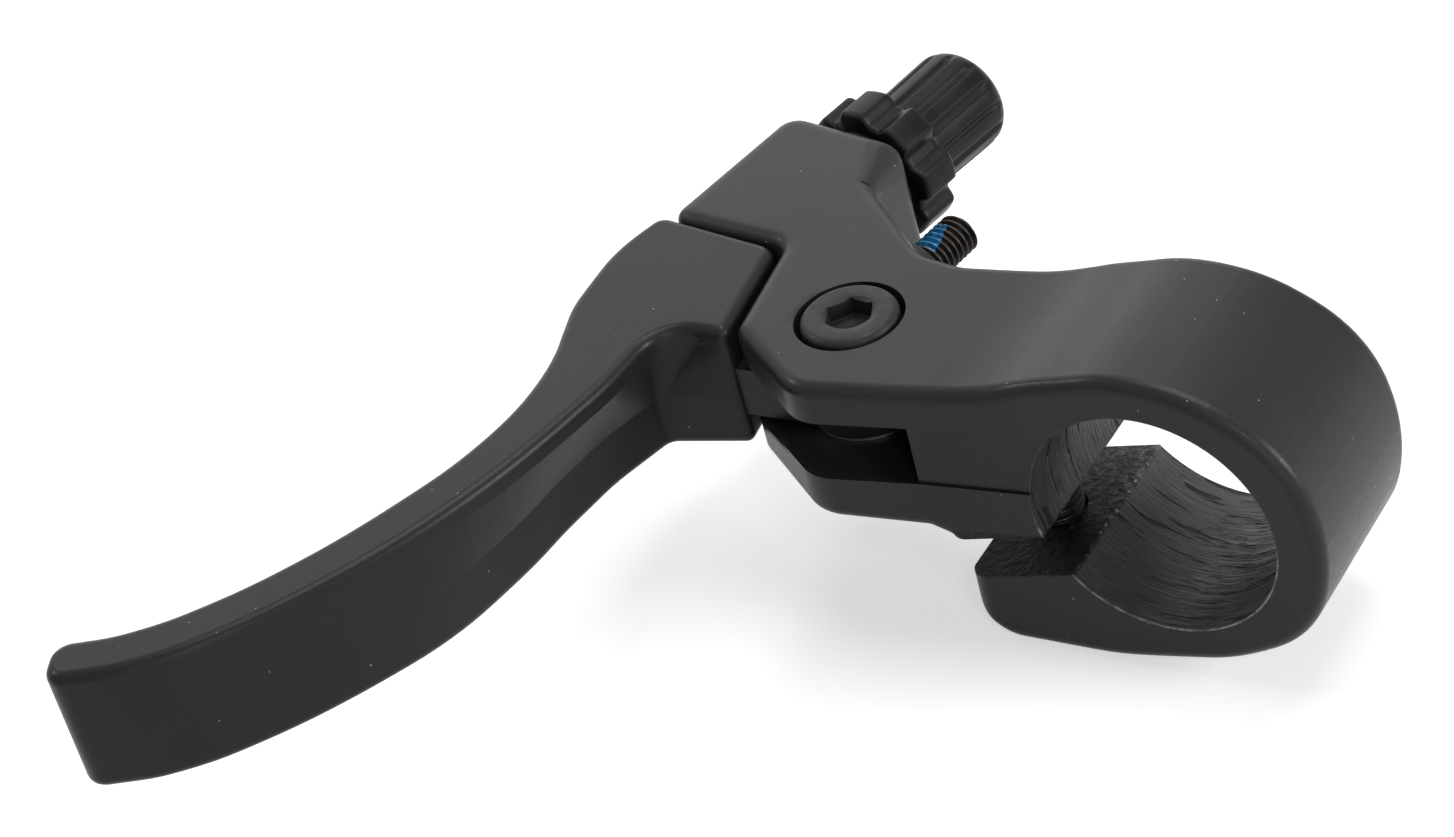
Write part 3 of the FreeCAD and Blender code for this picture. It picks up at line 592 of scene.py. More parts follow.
class ShapeTree(Nodes):
    """A Geometry Nodes tree under construction, with named inputs."""

    def __init__(self, name: str) -> None:
        """Starts a tree of the given name with a geometry output."""
        super().__init__(bpy.data.node_groups.new(name, "GeometryNodeTree"))
        self.tree.interface.new_socket(
            name="Shape", in_out="OUTPUT", socket_type="NodeSocketGeometry"
        )
        self.identifiers = {}
        self.start = self.node("NodeGroupInput")
        self.end = self.node("NodeGroupOutput")

    def inputs(self, kind: str, *names: str) -> list[Socket]:
        """Adds named inputs.

        Args:
            kind: The inputs' kind, such as Float, Int or Geometry.
            *names: The inputs' names.

        Returns:
            Their sockets inside the tree.
        """
        for name in names:
            made = self.tree.interface.new_socket(
                name=name, in_out="INPUT", socket_type="NodeSocket" + kind
            )
            self.identifiers[name] = made.identifier
        return [self.start.outputs[name] for name in names]

    def position(self) -> Sockets:
        """The x, y and z of each point."""
        place = self.result("GeometryNodeInputPosition")
        return tuple(self.node("ShaderNodeSeparateXYZ", place).outputs)

    def moved(self, geometry: Source, place: Source) -> Socket:
        """Geometry with its points at new places."""
        return self.result("GeometryNodeSetPosition", geometry, None, place)

    def rolled(self, radius: Source, turn: Source, height: Source) -> Socket:
        """Place of a point at a radius, a share of a turn and a height."""
        angle = self.product(turn, FULL_TURN)
        across = self.product(radius, self.math("COSINE", angle))
        up = self.product(radius, self.math("SINE", angle))
        return self.result("ShaderNodeCombineXYZ", across, up, height)

    def ridge(self, height: Source, turn: Source, pitch: Source) -> Socket:
        """Thread's ridge over a sheet rolled round its axis.

        Args:
            height: The height along the axis.
            turn: The share of a turn.
            pitch: The thread's pitch.

        Returns:
            The socket of the ridge, from 0 in the groove to 1 on the crest.
        """
        phase = self.math("FRACT", self.less(self.math("DIVIDE", height, pitch), turn))
        wedge = self.math("ABSOLUTE", self.math("MULTIPLY_ADD", phase, 2.0, -1.0))
        return self.ranged(wedge, *RIDGE_FLANK)

    def welded(self, geometry: Source) -> Socket:
        """Geometry with its touching points merged."""
        return self.result("GeometryNodeMergeByDistance", geometry, None, WELD_DISTANCE)

    def close(self, geometry: Source) -> "ShapeTree":
        """Ends the tree in smooth, real geometry, with its material from the input Finish.

        Args:
            geometry: What the tree has made.

        Returns:
            The tree itself.
        """
        finish = self.inputs("Material", "Finish")[0]
        smooth = self.result("GeometryNodeSetShadeSmooth", geometry, None, True)
        real = self.result("GeometryNodeRealizeInstances", smooth)
        dressed = self.result("GeometryNodeSetMaterial", real, None, finish)
        self.feed(self.end.inputs["Shape"], dressed)
        return self

    def grown(
        self, name: str, place: Matrix, mesh: bpy.types.Mesh, lengths: dict[str, float], **values
    ) -> bpy.types.Object:
        """Runs the tree and keeps its result as a plain mesh object.

        Args:
            name: The new piece's name.
            place: Where the result goes.
            mesh: The mesh that goes into the tree.
            lengths: The inputs that are lengths, in millimetres.
            **values: The other inputs.

        Returns:
            The new piece.
        """
        carrier = linked(name + "_carrier", mesh)
        modifier = carrier.modifiers.new("shape", "NODES")
        modifier.node_group = self.tree
        values.update({key: length * MM for key, length in lengths.items()})
        for key, value in values.items():
            modifier[self.identifiers[key]] = value
        graph = bpy.context.evaluated_depsgraph_get()
        made = bpy.data.meshes.new_from_object(carrier.evaluated_get(graph), depsgraph=graph)
        bpy.data.objects.remove(carrier)
        made.transform(place)
        return linked(name, made)


def thread_tree() -> ShapeTree:
    """Tree of a threaded rod: a sheet rolled round the axis, whose ridge climbs a pitch a turn.

    Returns:
        The tree.
    """
    chamfer_drop = 0.6
    tree = ShapeTree("threaded_rod")
    length, radius, depth = tree.inputs("Float", "Length", "Radius", "Depth")
    pitch, chamfer = tree.inputs("Float", "Pitch", "Chamfer")
    grid = tree.result("GeometryNodeMeshGrid", length, 1.0, *tree.inputs("Int", "Rows", "Columns"))
    x, y, _ = tree.position()
    height = tree.math("ADD", x, tree.product(length, 0.5))
    turn = tree.math("ADD", y, 0.5)
    to_end = tree.math("MINIMUM", height, tree.less(length, height))
    fade = tree.ranged(tree.math("DIVIDE", to_end, chamfer), 0.0, 1.0)
    ridge = tree.product(tree.ridge(height, turn, pitch), fade, depth)
    slope = tree.product(tree.less(1.0, fade), tree.product(depth, chamfer_drop))
    core = tree.less(tree.less(radius, depth), slope)
    inside = tree.math("GREATER_THAN", to_end, WELD_DISTANCE)
    out = tree.product(tree.math("ADD", core, ridge), inside)
    return tree.close(tree.welded(tree.moved(grid, tree.rolled(out, turn, height))))


def patch_tree() -> ShapeTree:
    """Tree of a locking patch smeared into a thread: a sheet over the ridges and one below them.

    Returns:
        The tree.
    """
    rag_scale, rag_middle, side_rag, end_rag = 7.0, 0.6, 0.3, 0.25
    end_share, rim_share, burial = 1.1, 0.05, 0.4
    tree = ShapeTree("smeared_patch")
    length, radius, depth, pitch = tree.inputs("Float", "Length", "Radius", "Depth", "Pitch")
    thick, start, narrowed = tree.inputs("Float", "Thick", "Start", "Narrowed")
    from_turn, turns = tree.inputs("Float", "FromTurn", "Turns")
    grid = tree.result("GeometryNodeMeshGrid", 1.0, 1.0, *tree.inputs("Int", "Rows", "Columns"))
    x, y, _ = tree.position()
    along = tree.math("ADD", x, 0.5)
    around = tree.math("ADD", y, 0.5)
    height = tree.math("MULTIPLY_ADD", along, length, start)
    turn = tree.math("MULTIPLY_ADD", around, turns, from_turn)
    root = tree.less(radius, depth)
    ridge = tree.product(tree.ridge(height, turn, pitch), depth)
    coated = tree.math("ADD", tree.math("ADD", root, ridge), thick)
    place = tree.result("ShaderNodeCombineXYZ", x, y)
    ragged = tree.result("ShaderNodeTexNoise", place, rag_scale)
    limit = tree.math("MULTIPLY_ADD", along, tree.less(narrowed, 1.0), 1.0)
    limit = tree.math("MULTIPLY_ADD", tree.less(ragged, rag_middle), side_rag, limit)
    side = tree.math("MINIMUM", around, tree.less(limit, around))
    torn = tree.math("MULTIPLY_ADD", ragged, -end_rag, tree.less(end_share, along))
    edge = tree.math("MINIMUM", side, tree.math("MINIMUM", along, torn))
    cover = tree.ranged(edge, 0.0, rim_share)
    buried = tree.less(root, tree.product(depth, burial))
    raised = tree.math("ADD", buried, tree.product(cover, tree.less(coated, buried)))
    outer = tree.moved(grid, tree.rolled(raised, turn, height))
    inner = tree.moved(grid, tree.rolled(buried, turn, height))
    both = tree.node("GeometryNodeJoinGeometry")
    for sheet in (tree.result("GeometryNodeFlipFaces", inner), outer):
        tree.feed(both.inputs[0], sheet)
    return tree.close(tree.welded(both.outputs[0]))


def flute_tree() -> ShapeTree:
    """Tree that presses even grooves round a turned shape, between two radii and two heights.

    A groove's mouth takes twice the share of a step, and its floor is level over the flat part.

    Returns:
        The tree.
    """
    tree = ShapeTree("fluted_turning")
    turned = tree.inputs("Geometry", "Turned")[0]
    count, depth, share, flat = tree.inputs("Float", "Count", "Depth", "Share", "Flat")
    offset, inner, outer = tree.inputs("Float", "Turn", "Inner", "Outer")
    start, end, ease = tree.inputs("Float", "From", "To", "Ease")
    x, y, z = tree.position()
    radius = tree.math("SQRT", tree.math("ADD", tree.product(x, x), tree.product(y, y)))
    angle = tree.less(tree.math("ARCTAN2", y, x), offset)
    step = tree.math("MULTIPLY_ADD", tree.math("DIVIDE", angle, FULL_TURN), count, 0.5)
    off_middle = tree.math("ABSOLUTE", tree.less(tree.math("FRACT", step), 0.5))
    bowl = tree.ranged(tree.math("DIVIDE", off_middle, share), 1.0, flat)
    reach = tree.ranged(radius, inner, outer)
    entered = tree.ranged(z, start, tree.math("ADD", start, ease))
    left = tree.ranged(z, end, tree.less(end, ease))
    press = tree.product(tree.product(bowl, reach), tree.product(entered, left))
    scale = tree.less(1.0, tree.math("DIVIDE", tree.product(press, depth), radius))
    across, up = tree.product(x, scale), tree.product(y, scale)
    return tree.close(tree.moved(turned, tree.result("ShaderNodeCombineXYZ", across, up, z)))


def linked(name: str, data: bpy.types.ID) -> bpy.types.Object:
    """Puts data into the scene as a new object."""
    made = bpy.data.objects.new(name, data)
    bpy.context.scene.collection.objects.link(made)
    return made


def vector(x: float, y: float, z: float) -> Vector:
    """Default of a dataclass's vector."""
    return field(default_factory=lambda: Vector((x, y, z)))


def vertex(shell: bmesh.types.BMesh, angle: float, point: Point) -> bmesh.types.BMVert:
    """Adds a point to a shell, at an angle and at a (radius, height) in millimetres."""
    radius, height = point
    across, up = radius * MM * math.cos(angle), radius * MM * math.sin(angle)
    return shell.verts.new((across, up, height * MM))


def kept(shell: bmesh.types.BMesh, name: str) -> bpy.types.Mesh:
    """Turns a shell's faces outwards and keeps it as a mesh."""
    bmesh.ops.recalc_face_normals(shell, faces=shell.faces)
    mesh = bpy.data.meshes.new(name)
    shell.to_mesh(mesh)
    shell.free()
    return mesh


def turned_mesh(name: str, profile: Sequence[Point], segments: int) -> bpy.types.Mesh:
    """Closed ring turned about Z from a closed profile.

    Args:
        name: The mesh's name.
        profile: Points (radius, height) in millimetres, in order round the section.
        segments: Steps round the axis.

    Returns:
        The mesh, with its normals outwards.
    """
    shell = bmesh.new()
    rings = []
    for step in range(segments):
        angle = FULL_TURN * step / segments
        rings.append([vertex(shell, angle, point) for point in profile])
    for ring, following in zip(rings, rings[1:] + rings[:1]):
        for row in range(len(profile)):
            after = (row + 1) % len(profile)
            shell.faces.new((ring[row], following[row], following[after], ring[after]))
    return kept(shell, name)


def lofted_mesh(name: str, rings: Sequence[Ring], segments: int) -> bpy.types.Mesh:
    """Closed shape about Z from rings whose radius and height may change with the angle.

    Args:
        name: The mesh's name.
        rings: Each ring's (radius, height) in millimetres at an angle, from pole to pole.
        segments: Steps round the axis.

    Returns:
        The mesh, smooth but for its sharp edges, with its normals outwards.
    """
    shell = bmesh.new()
    angles = [FULL_TURN * step / segments for step in range(segments)]
    first = vertex(shell, 0.0, rings[0](0.0))
    last = vertex(shell, 0.0, rings[-1](0.0))
    loops = [[vertex(shell, angle, ring(angle)) for angle in angles] for ring in rings[1:-1]]
    for index in range(segments):
        after = (index + 1) % segments
        shell.faces.new((first, loops[0][after], loops[0][index]))
        shell.faces.new((last, loops[-1][index], loops[-1][after]))
        for lower, upper in zip(loops, loops[1:]):
            shell.faces.new((lower[index], lower[after], upper[after], upper[index]))
    mesh = kept(shell, name)
    mesh.shade_smooth()
    mesh.set_sharp_from_angle(angle=math.radians(SHARP_FROM_DEG))
    return mesh


def steady(radius: float, height: float) -> Ring:
    """Ring of one radius and height."""
    return lambda angle: (radius, height)


def arc_points(
    centre: Point, radius: float, start: float, end: float, steps: int
) -> list[Point]:
    """Points of a profile's arc, with the angles in degrees."""
    found = []
    for step in range(steps + 1):
        angle = math.radians(start + (end - start) * step / steps)
        found.append((centre[0] + radius * math.cos(angle), centre[1] + radius * math.sin(angle)))
    return found


def spread(first: Point, last: Point, steps: int) -> list[Point]:
    """Points of a profile's straight run, without its last one."""
    return [
        tuple(near + (far - near) * step / steps for near, far in zip(first, last))
        for step in range(steps)
    ]


def axis_matrix(foot: Vector, along: Vector) -> Matrix:
    """Placement of a shape turned about Z on an axis.

    Args:
        foot: Where the axis starts, in millimetres.
        along: The axis's direction.

    Returns:
        The matrix, with its place in metres.
    """
    upright = abs(along.z) > UPRIGHT_FROM
    across = Vector((1.0, 0.0, 0.0)) if upright else along.cross(UP).normalized()
    turn = Matrix((across, along.cross(across), along)).transposed().to_4x4()
    return Matrix.Translation(foot * MM) @ turn


def dressed(node: str, material: bpy.types.Material, slot: Slot) -> str:
    """Gives a CAD node its finish.

    Args:
        node: The node's name.
        material: The material of the whole node.
        slot: The record's slot of that finish; not used.

    Returns:
        The node's name.
    """
    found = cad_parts[node]
    found.data.materials.clear()
    found.data.materials.append(material)
    return node


def settled(piece: bpy.types.Object, body: Body, node: str) -> str:
    """Seats a new piece on its body in place of a CAD node.

    Args:
        piece: The new piece.
        body: The body that it rides on.
        node: The CAD node that it stands for.

    Returns:
        The piece's name.
    """
    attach(piece, body.value)
    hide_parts(node)
    return piece.name


@dataclass(frozen=True)
class Thread:
    """Outer thread of a rod, and how finely it is drawn."""

    radius: float
    pitch: float
    depth: float
    chamfer: float
    columns: int
    rows_per_turn: int = 12

    def rod(
        self, name: str, foot: Vector, along: Vector, length: float, finish: RubbedThread
    ) -> bpy.types.Object:
        """A threaded rod.

        Args:
            name: The piece's name.
            foot: Where the thread begins, in millimetres.
            along: The direction that it runs in.
            length: Its length in millimetres.
            finish: Its finish.

        Returns:
            The piece.
        """
        lengths = {
            "Length": length, "Radius": self.radius, "Depth": self.depth, "Pitch": self.pitch,
            "Chamfer": self.chamfer,
        }
        return thread_tree().grown(
            name, axis_matrix(foot, along), bpy.data.meshes.new(name + "_start"), lengths,
            Rows=int(length / self.pitch * self.rows_per_turn), Columns=self.columns,
            Finish=finish.material(),
        )


@dataclass
class Castings:
    """The bracket and the lever blade, which keep their CAD shape, with the blade's coat painted
    darker as painted shade.
    """

    bracket: ClampPaint = ClampPaint(PowderCoat("bracket_powder_coat"))
    # Painted shade: the blade's coat is a darker copy of the bracket's coat, with a lower specular
    # level.
    blade: PowderCoat = PowderCoat("blade_coat_painted_darker", (0.0165, 0.0149, 0.0154), 0.16)

    def build(self) -> list[str]:
        """Dresses both castings and returns their names."""
        return [
            dressed("lever_bracket", self.bracket.material(), Slot.BRACKET_PAINT),
            dressed("lever_blade", self.blade.material(), Slot.BLADE_PAINT),
        ]


@dataclass
class CableAdjuster:
    """Barrel adjuster with its fluted knob and threaded stem, and the lobed locknut behind it.

    Grooves fade in over two distances: the flutes' are both inside the knob's radius, and the
    gaps' between the lobes are outside the hub's and inside the nut's.
    """

    foot: Vector = vector(-47.470, 9.442, 4.7)
    along: Vector = vector(0.19509, 0.98079, 0.0)
    thread: Thread = Thread(3.5, 1.0, 0.55, 0.8, 65)
    stem_start: float = 3.6
    stem_overlap: float = 0.2
    stem_bare: Colour = (0.10, 0.10, 0.10)
    cable_radius: float = 1.3
    housing_radius: float = 2.6
    housing_depth: float = 8.5
    mouth_chamfer: float = 0.45
    knob_radius: float = 5.1
    knob_length: float = 10.85
    knob_start: float = 21.7
    knob_round: float = 2.0
    knob_foot_round: float = 0.6
    knob_taper: float = 0.14
    flutes: int = 14
    flute_depth: float = 0.30
    flute_share: float = 0.25
    flute_turn_deg: float = -10.0
    flute_fade: Point = (1.9, 0.9)
    flute_ease: float = 2.2
    flute_overrun: float = 1.0
    flute_stop: float = 0.6
    nut_radius: float = 7.05
    nut_length: float = 5.6
    nut_start: float = 15.95
    nut_edge: float = 0.5
    nut_clearance: float = 0.04
    hub_radius: float = 5.0
    hub_length: float = 1.2
    hub_edge: float = 0.2
    lobes: int = 8
    gap_depth: float = 0.95
    gap_share: float = 0.29
    gap_flat: float = 0.28
    gap_turn_deg: float = -28.0
    gap_fade: Point = (0.05, 0.75)
    gap_ease: float = 1.0
    gap_overrun: float = 2.0

    def build(self) -> list[str]:
        """Builds the knob, its stem and the locknut, and returns their names."""
        finish = GlossBlack("adjuster_black", self.along).material()
        return [self.knob(finish), self.stem(), self.locknut(finish)]

    def place(self, distance: float) -> Vector:
        """Point at a distance along the barrel's axis."""
        return self.foot + self.along * distance

    def knob(self, finish: bpy.types.Material) -> str:
        """Builds the knob, slimmer at its foot, with the housing's seat in its mouth.

        Args:
            finish: Its material.

        Returns:
            The piece's name.
        """
        top, outer, curve = self.knob_length, self.knob_radius, self.knob_round
        heel, bore, seat = self.knob_foot_round, self.housing_radius, top - self.housing_depth
        base = outer - self.knob_taper - heel
        mouth = bore + self.mouth_chamfer
        profile = spread((self.cable_radius, 0.0), (base, 0.0), 6)
        profile += arc_points((base, heel), heel, -90, 0, 5)[:-1]
        steps = 32
        for share in (step / steps for step in range(steps + 1)):
            swell = self.knob_taper * math.cos(share * math.pi / 2) ** 2
            profile.append((outer - swell, heel + (top - curve - heel) * share))
        profile += arc_points((outer - curve, top - curve), curve, 0, 90, 12)[1:]
        profile += spread((outer - curve - 0.15, top), (mouth, top), 2)
        profile += [(mouth, top), (bore, top - self.mouth_chamfer), (bore, seat)]
        profile += [(self.cable_radius, seat), (self.cable_radius, 0.6)]
        lengths = {
            "Depth": self.flute_depth, "Inner": outer - self.flute_fade[0],
            "Outer": outer - self.flute_fade[1], "From": -self.flute_overrun,
            "To": top - self.flute_stop, "Ease": self.flute_ease,
        }
        piece = flute_tree().grown(
            "barrel_knob_fluted", axis_matrix(self.place(self.knob_start), self.along),
            turned_mesh("knob_turned", profile, segments=336), lengths,
            Count=float(self.flutes), Share=self.flute_share, Flat=0.0,
            Turn=math.radians(self.flute_turn_deg), Finish=finish,
        )
        return settled(piece, Body.BARREL, "barrel_adjuster")

    def stem(self) -> str:
        """Builds the threaded stem, which runs from inside the boss into the knob's foot.

        Returns:
            The piece's name.
        """
        finish = RubbedThread(
            "barrel_stem_thread", self.foot, self.along, self.thread.radius, self.thread.depth,
            self.stem_bare,
        )
        length = self.knob_start + self.stem_overlap - self.stem_start
        start = self.place(self.stem_start)
        piece = self.thread.rod("barrel_stem_threaded", start, self.along, length, finish)
        return settled(piece, Body.BARREL, "barrel_adjuster")

    def locknut(self, finish: bpy.types.Material) -> str:
        """Builds the locknut, with broad lobes on a round hub.

        Args:
            finish: Its material.

        Returns:
            The piece's name.
        """
        outer, hub, edge = self.nut_radius, self.hub_radius, self.nut_edge
        inner = self.thread.radius + self.nut_clearance
        top, step = self.nut_length, self.hub_length
        profile = spread((inner, 0.0), (hub - self.hub_edge, 0.0), 3)
        profile += [(hub - self.hub_edge, 0.0), (hub, self.hub_edge)]
        profile += spread((hub, step - 0.05), (outer - edge, step), 6)
        profile += arc_points((outer - edge, step + edge), edge, -90, 0, 5)
        profile += spread((outer, step + edge + 0.3), (outer, top - edge), 8)
        profile += arc_points((outer - edge, top - edge), edge, 0, 90, 5)
        profile += spread((outer - edge - 0.25, top), (inner, top), 7)
        profile += spread((inner, top), (inner, 0.0), 6)
        lengths = {
            "Depth": self.gap_depth, "Inner": hub + self.gap_fade[0],
            "Outer": outer - self.gap_fade[1], "From": -self.gap_overrun,
            "To": top + self.gap_overrun, "Ease": self.gap_ease,
        }
        piece = flute_tree().grown(
            "barrel_locknut_lobed", axis_matrix(self.place(self.nut_start), self.along),
            turned_mesh("locknut_turned", profile, segments=320), lengths,
            Count=float(self.lobes), Share=self.gap_share, Flat=self.gap_flat,
            Turn=math.radians(self.gap_turn_deg), Finish=finish,
        )
        return settled(piece, Body.LOCKNUT, "barrel_locknut")


@dataclass
class ReachScrew:
    """Headless screw beside the barrel boss, with a blue nylon patch smeared into its thread."""

    foot: Vector = vector(-33.877, 5.974, 4.8)
    along: Vector = vector(0.173648, 0.984808, 0.0)
    thread: Thread = Thread(2.0, 0.7, 0.38, 0.45, 73, 14)
    length: float = 15.2
    tip: float = 14.6
    patch_from_tip: float = 5.4
    patch_length: float = 3.6
    patch_thick: float = 0.045
    patch_from_deg: float = -135.0
    patch_span_deg: float = 90.0
    patch_narrowed: float = 0.6
    patch_rows: int = 120
    patch_columns: int = 56
    patch_finish: MouldedPlastic = MouldedPlastic(
        "patch_blue_nylon", (0.008, 0.115, 0.27), (0.05, 0.27, 0.48), 0.34, 1500.0
    )

    def build(self) -> list[str]:
        """Builds the screw and its patch.

        Returns:
            The names of the pieces.
        """
        thread, along = self.thread, self.along
        start = self.foot + along * (self.tip - self.length)
        finish = RubbedThread("reach_screw_thread", self.foot, along, thread.radius, thread.depth)
        screw = thread.rod("reach_screw_threaded", start, along, self.length, finish)
        lengths = {
            "Length": self.patch_length, "Radius": thread.radius, "Depth": thread.depth,
            "Pitch": thread.pitch, "Thick": self.patch_thick,
            "Start": self.length - self.patch_from_tip,
        }
        patch = patch_tree().grown(
            "reach_patch_smeared", axis_matrix(start, along), bpy.data.meshes.new("patch_start"),
            lengths, FromTurn=self.patch_from_deg / 360, Turns=self.patch_span_deg / 360,
            Narrowed=self.patch_narrowed, Rows=self.patch_rows, Columns=self.patch_columns,
            Finish=self.patch_finish.material(),
        )
        return [
            settled(screw, Body.REACH, "reach_screw"),
            settled(patch, Body.REACH, "reach_screw_patch"),
        ]


@dataclass(frozen=True)
class SocketHead:
    """Head of a socket screw with its neck: an eased rim and a countersunk hexagon socket."""

    radius: float
    height: float
    rim_round: float
    hex_depth: float
    hex_turn_deg: float
    neck_radius: float
    neck_length: float
    hex_flats: float = 4.0
    countersink: float = 0.64
    neck_chamfer: float = 0.25
    under_chamfer: float = 0.15
    mouth_margin: float = 0.04
    drill_share: float = 0.55
    drill_depth: float = 0.45
    segments: int = 96

    def hexagon(self, angle: float) -> float:
        """Radius of the hexagon socket's wall at an angle."""
        sixth = math.radians(60)
        off_flat = (angle - math.radians(self.hex_turn_deg)) % sixth - sixth / 2
        return self.hex_flats / 2 / math.cos(off_flat)

    def rings(self) -> list[Ring]:
        """Rings of the head from the neck's foot to the socket's floor, with its face at 0.

        Returns:
            The rings for lofted_mesh.
        """
        rim, neck, under, floor = self.rim_round, self.neck_radius, -self.height, -self.hex_depth
        foot, cut, edge = under - self.neck_length, self.neck_chamfer, self.under_chamfer
        mouth = self.hex_flats / math.sqrt(3) + self.mouth_margin
        outside = [
            (0.0, foot), (neck - cut, foot), (neck, foot + cut), (neck, under - 0.3),
            (neck, under), (self.radius - edge, under), (self.radius, under + edge),
            *arc_points((self.radius - rim, -rim), rim, 0, 90, 10),
            ((self.radius - rim + mouth) / 2, 0.0), (mouth + 0.06, 0.0), (mouth, -0.02),
        ]
        socket = [
            lambda angle: (
                self.hexagon(angle), -0.02 - (mouth - self.hexagon(angle)) * self.countersink
            ),
            lambda angle: (self.hexagon(angle) - 0.01, floor + 0.08),
            lambda angle: (self.hexagon(angle) - 0.1, floor),
            steady(self.hex_flats / 2 * self.drill_share, floor - 0.1),
            steady(0.0, floor - self.drill_depth),
        ]
        return [steady(*point) for point in outside] + socket


@dataclass(frozen=True)
class Bolt:
    """Upright socket screw, made as its head with the plain neck and its threaded end.

    Its face looks up or down (1 or -1).
    """

    name: str
    axis: Point
    head: SocketHead
    face: float
    looks: float
    thread_from: float
    thread_to: float
    thread: Thread = Thread(2.5, 0.8, 0.4, 0.5, 61)
    bare: Colour = (0.055, 0.052, 0.050)

    def build(self) -> list[str]:
        """Builds both pieces.

        Returns:
            Their names.
        """
        mesh = lofted_mesh(self.name + "_head", self.head.rings(), self.head.segments)
        mesh.transform(axis_matrix(Vector((*self.axis, self.face)), UP * self.looks))
        mesh.materials.append(BlackSteel(self.name + "_steel").material())
        foot = Vector((*self.axis, self.thread_from))
        finish = RubbedThread(
            self.name + "_thread_steel", foot, UP, self.thread.radius, self.thread.depth, self.bare
        )
        length = self.thread_to - self.thread_from
        pieces = (
            linked(mesh.name, mesh),
            self.thread.rod(self.name + "_thread", foot, UP, length, finish),
        )
        return [settled(piece, Body.BRACKET, self.name) for piece in pieces]


@dataclass
class Fasteners:
    """Pivot bolt with the bush, washers and nut round it, and the clamp's bolt and washer."""

    bolts: tuple[Bolt, ...] = (
        Bolt(
            "pivot_bolt", (-30.0, -1.66),
            SocketHead(
                radius=4.4, height=3.15, rim_round=0.75, hex_depth=1.8, hex_turn_deg=-7.5,
                neck_radius=3.0, neck_length=7.12,
            ),
            face=11.97, looks=1.0, thread_from=-5.95, thread_to=1.85,
        ),
        Bolt(
            "clamp_bolt", (-14.5, 0.0),
            SocketHead(
                radius=4.25, height=3.5, rim_round=0.45, hex_depth=2.2, hex_turn_deg=12.0,
                neck_radius=2.5, neck_length=0.6,
            ),
            face=-15.75, looks=-1.0, thread_from=-12.4, thread_to=7.5,
        ),
    )
    plated: tuple[str, ...] = (
        "pivot_nut", "pivot_washer_upper", "pivot_washer_lower", "clamp_washer"
    )
    bush_finish: MouldedPlastic = MouldedPlastic(
        "bush_plastic", (0.045, 0.045, 0.043), (0.07, 0.07, 0.066), 0.55
    )

    def build(self) -> list[str]:
        """Builds the bolts and dresses the parts round them.

        Returns:
            The names of the pieces.
        """
        names = [name for bolt in self.bolts for name in bolt.build()]
        names.append(dressed("pivot_bush", self.bush_finish.material(), Slot.BUSH_PLASTIC))
        steel = PlainSteel("plated_steel").material()
        return names + [dressed(node, steel, Slot.PLAIN_STEEL) for node in self.plated]


@dataclass(frozen=True)
class Lamp:
    """Square soft lamp that faces the object, with its place and size in metres."""

    name: str
    place: Triple
    size: float
    power: float

    def build(self) -> None:
        """Puts the lamp into the scene."""
        data = bpy.data.lights.new(self.name, "AREA")
        data.shape = "SQUARE"
        data.size = self.size
        data.energy = self.power
        lamp = linked(self.name, data)
        lamp.location = self.place
        lamp.rotation_mode = "QUATERNION"
        lamp.rotation_quaternion = (-Vector(self.place)).to_track_quat("-Z", "Y")


def seen_directly(nodes: Nodes) -> Socket:
    """1 for rays from the camera and for those that gloss and glass send on."""
    path = nodes.node("ShaderNodeLightPath").outputs
    straight = nodes.math("MAXIMUM", path["Is Camera Ray"], path["Is Glossy Ray"])
    return nodes.math("MAXIMUM", straight, path["Is Transmission Ray"])


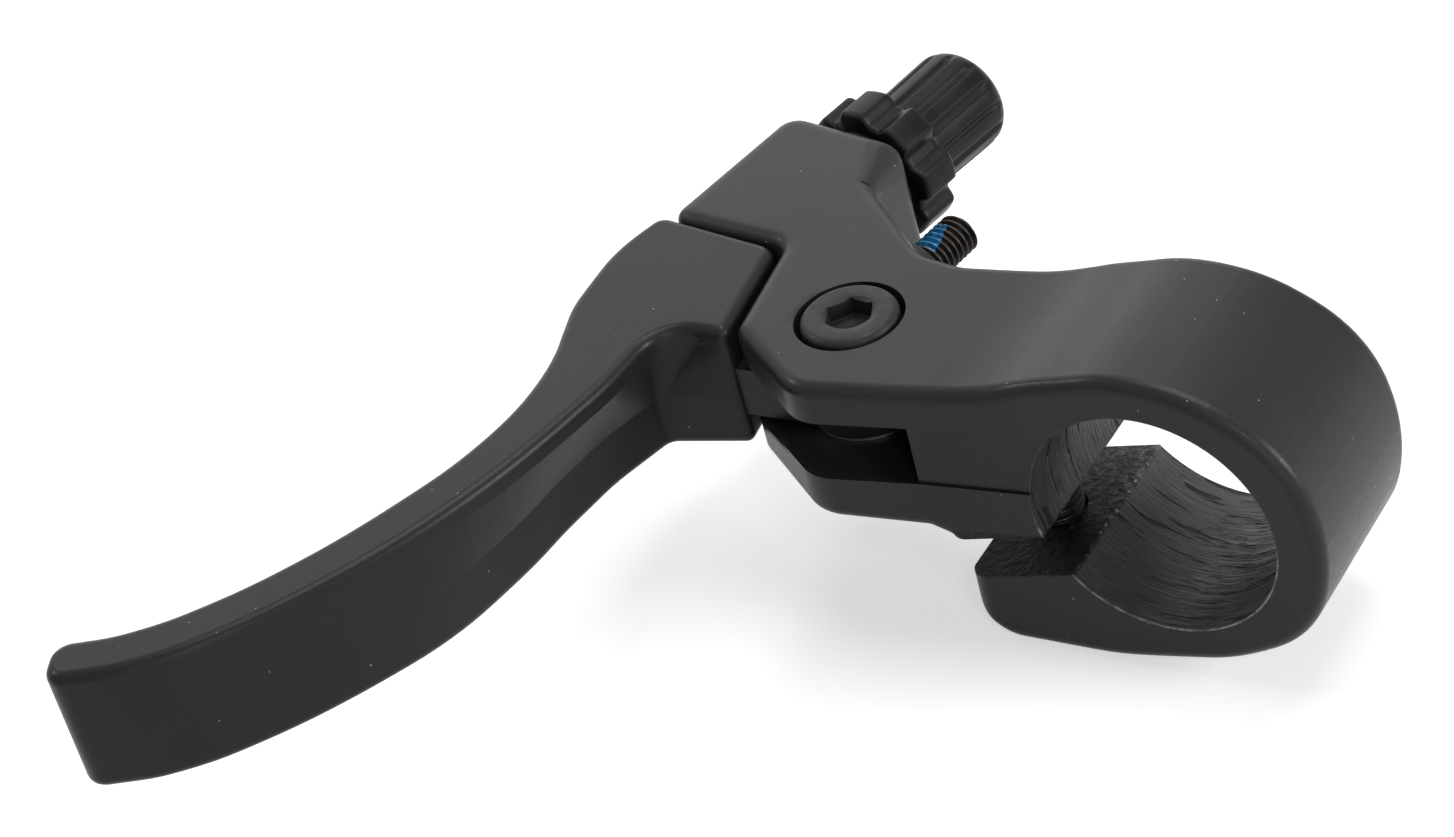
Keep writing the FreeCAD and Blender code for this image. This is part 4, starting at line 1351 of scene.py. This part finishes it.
@dataclass
class Studio:
    """Pale floor, soft lamps, pale surroundings, and the camera at the photograph's angle."""

    camera_place: Vector = vector(0.1360, -0.2303, 0.2074)
    camera_right: Vector = vector(0.8514, 0.4767, -0.2188)
    camera_up: Vector = vector(-0.1391, 0.6074, 0.7821)
    camera_back: Vector = vector(0.5057, -0.6355, 0.5835)
    lens: float = 99.04
    sensor: float = 36.0
    clip: Point = (0.01, 50.0)
    floor_size: float = 6.0
    floor_drop: float = 0.0002
    floor_colour: Colour = (0.66, 0.66, 0.66)
    floor_roughness: float = 0.9
    floor_specular: float = 0.1
    floor_glow: float = 0.56
    world_colour: Colour = (0.94, 0.96, 1.0)
    world_strength: float = 0.10
    backdrop: Colour = (0.8, 0.8, 0.8)
    lamps: tuple[Lamp, ...] = (
        Lamp("top_softbox", (0.04, 0.22, 0.80), 0.5, 4.2),
        Lamp("back_softbox", (-0.58, 0.70, 0.50), 0.9, 3.1),
        Lamp("right_softbox", (0.89, 0.18, 0.33), 0.4, 6.6),
        Lamp("front_softbox", (0.62, -0.78, 0.20), 0.6, 1.5),
        Lamp("left_kicker", (-0.80, -0.08, 0.62), 0.14, 1.5),
        Lamp("camera_kicker", (0.50, -0.52, 0.62), 0.12, 0.9),
    )

    def build(self) -> None:
        """Makes the camera, the floor, the lamps and the surroundings."""
        self.camera()
        self.floor()
        for lamp in self.lamps:
            lamp.build()
        self.surroundings()

    def camera(self) -> None:
        """Places the camera where the photograph was taken from."""
        data = bpy.data.cameras.new("photo_camera")
        data.sensor_width = self.sensor
        data.lens = self.lens
        data.clip_start, data.clip_end = self.clip
        camera = linked("photo_camera", data)
        turn = Matrix((self.camera_right, self.camera_up, self.camera_back)).transposed()
        camera.matrix_world = Matrix.Translation(self.camera_place) @ turn.to_4x4()
        bpy.context.scene.camera = camera

    def floor(self) -> None:
        """Lays the floor, which shows white to the camera and keeps the object's shadow."""
        half = self.floor_size / 2
        level = CAD_BOX[0].z - self.floor_drop
        ends = ((-half, -half), (half, -half), (half, half), (-half, half))
        mesh = bpy.data.meshes.new("floor")
        mesh.from_pydata([(*end, level) for end in ends], [], [(0, 1, 2, 3)])
        graph = Graph("floor_paper")
        graph.surface(self.floor_colour, self.floor_roughness, None, self.floor_specular)
        glow = graph.result("ShaderNodeEmission", (1.0, 1.0, 1.0), self.floor_glow)
        dark = graph.result("ShaderNodeEmission", (0.0, 0.0, 0.0), 0.0)
        lift = graph.result("ShaderNodeMixShader", seen_directly(graph), dark, glow)
        both = graph.result("ShaderNodeAddShader", graph.shader.outputs[0], lift)
        graph.feed(graph.tree.nodes["Material Output"].inputs["Surface"], both)
        mesh.materials.append(graph.material)
        linked("floor", mesh)

    def surroundings(self) -> None:
        """Lights the object gently from all round and shows a pale backdrop behind it."""
        world = bpy.data.worlds.new("studio")
        world.use_nodes = True
        bpy.context.scene.world = world
        nodes = Nodes(world.node_tree)
        nodes.tree.nodes.clear()
        soft = nodes.result("ShaderNodeBackground", self.world_colour, self.world_strength)
        pale = nodes.result("ShaderNodeBackground", self.backdrop, 1.0)
        mix = nodes.result("ShaderNodeMixShader", seen_directly(nodes), soft, pale)
        nodes.node("ShaderNodeOutputWorld", mix)


def main() -> None:
    """Builds the studio and every sub-assembly, and reports each piece."""
    logging.basicConfig(level=logging.INFO, format="%(name)s: %(message)s")
    bpy.context.scene.view_settings.view_transform = "Standard"
    Studio().build()
    for part in (Castings(), Fasteners(), CableAdjuster(), ReachScrew()):
        for name in part.build():
            LOG.info("%s: %s", type(part).__name__, name)


if __name__ == "__main__":
    main()
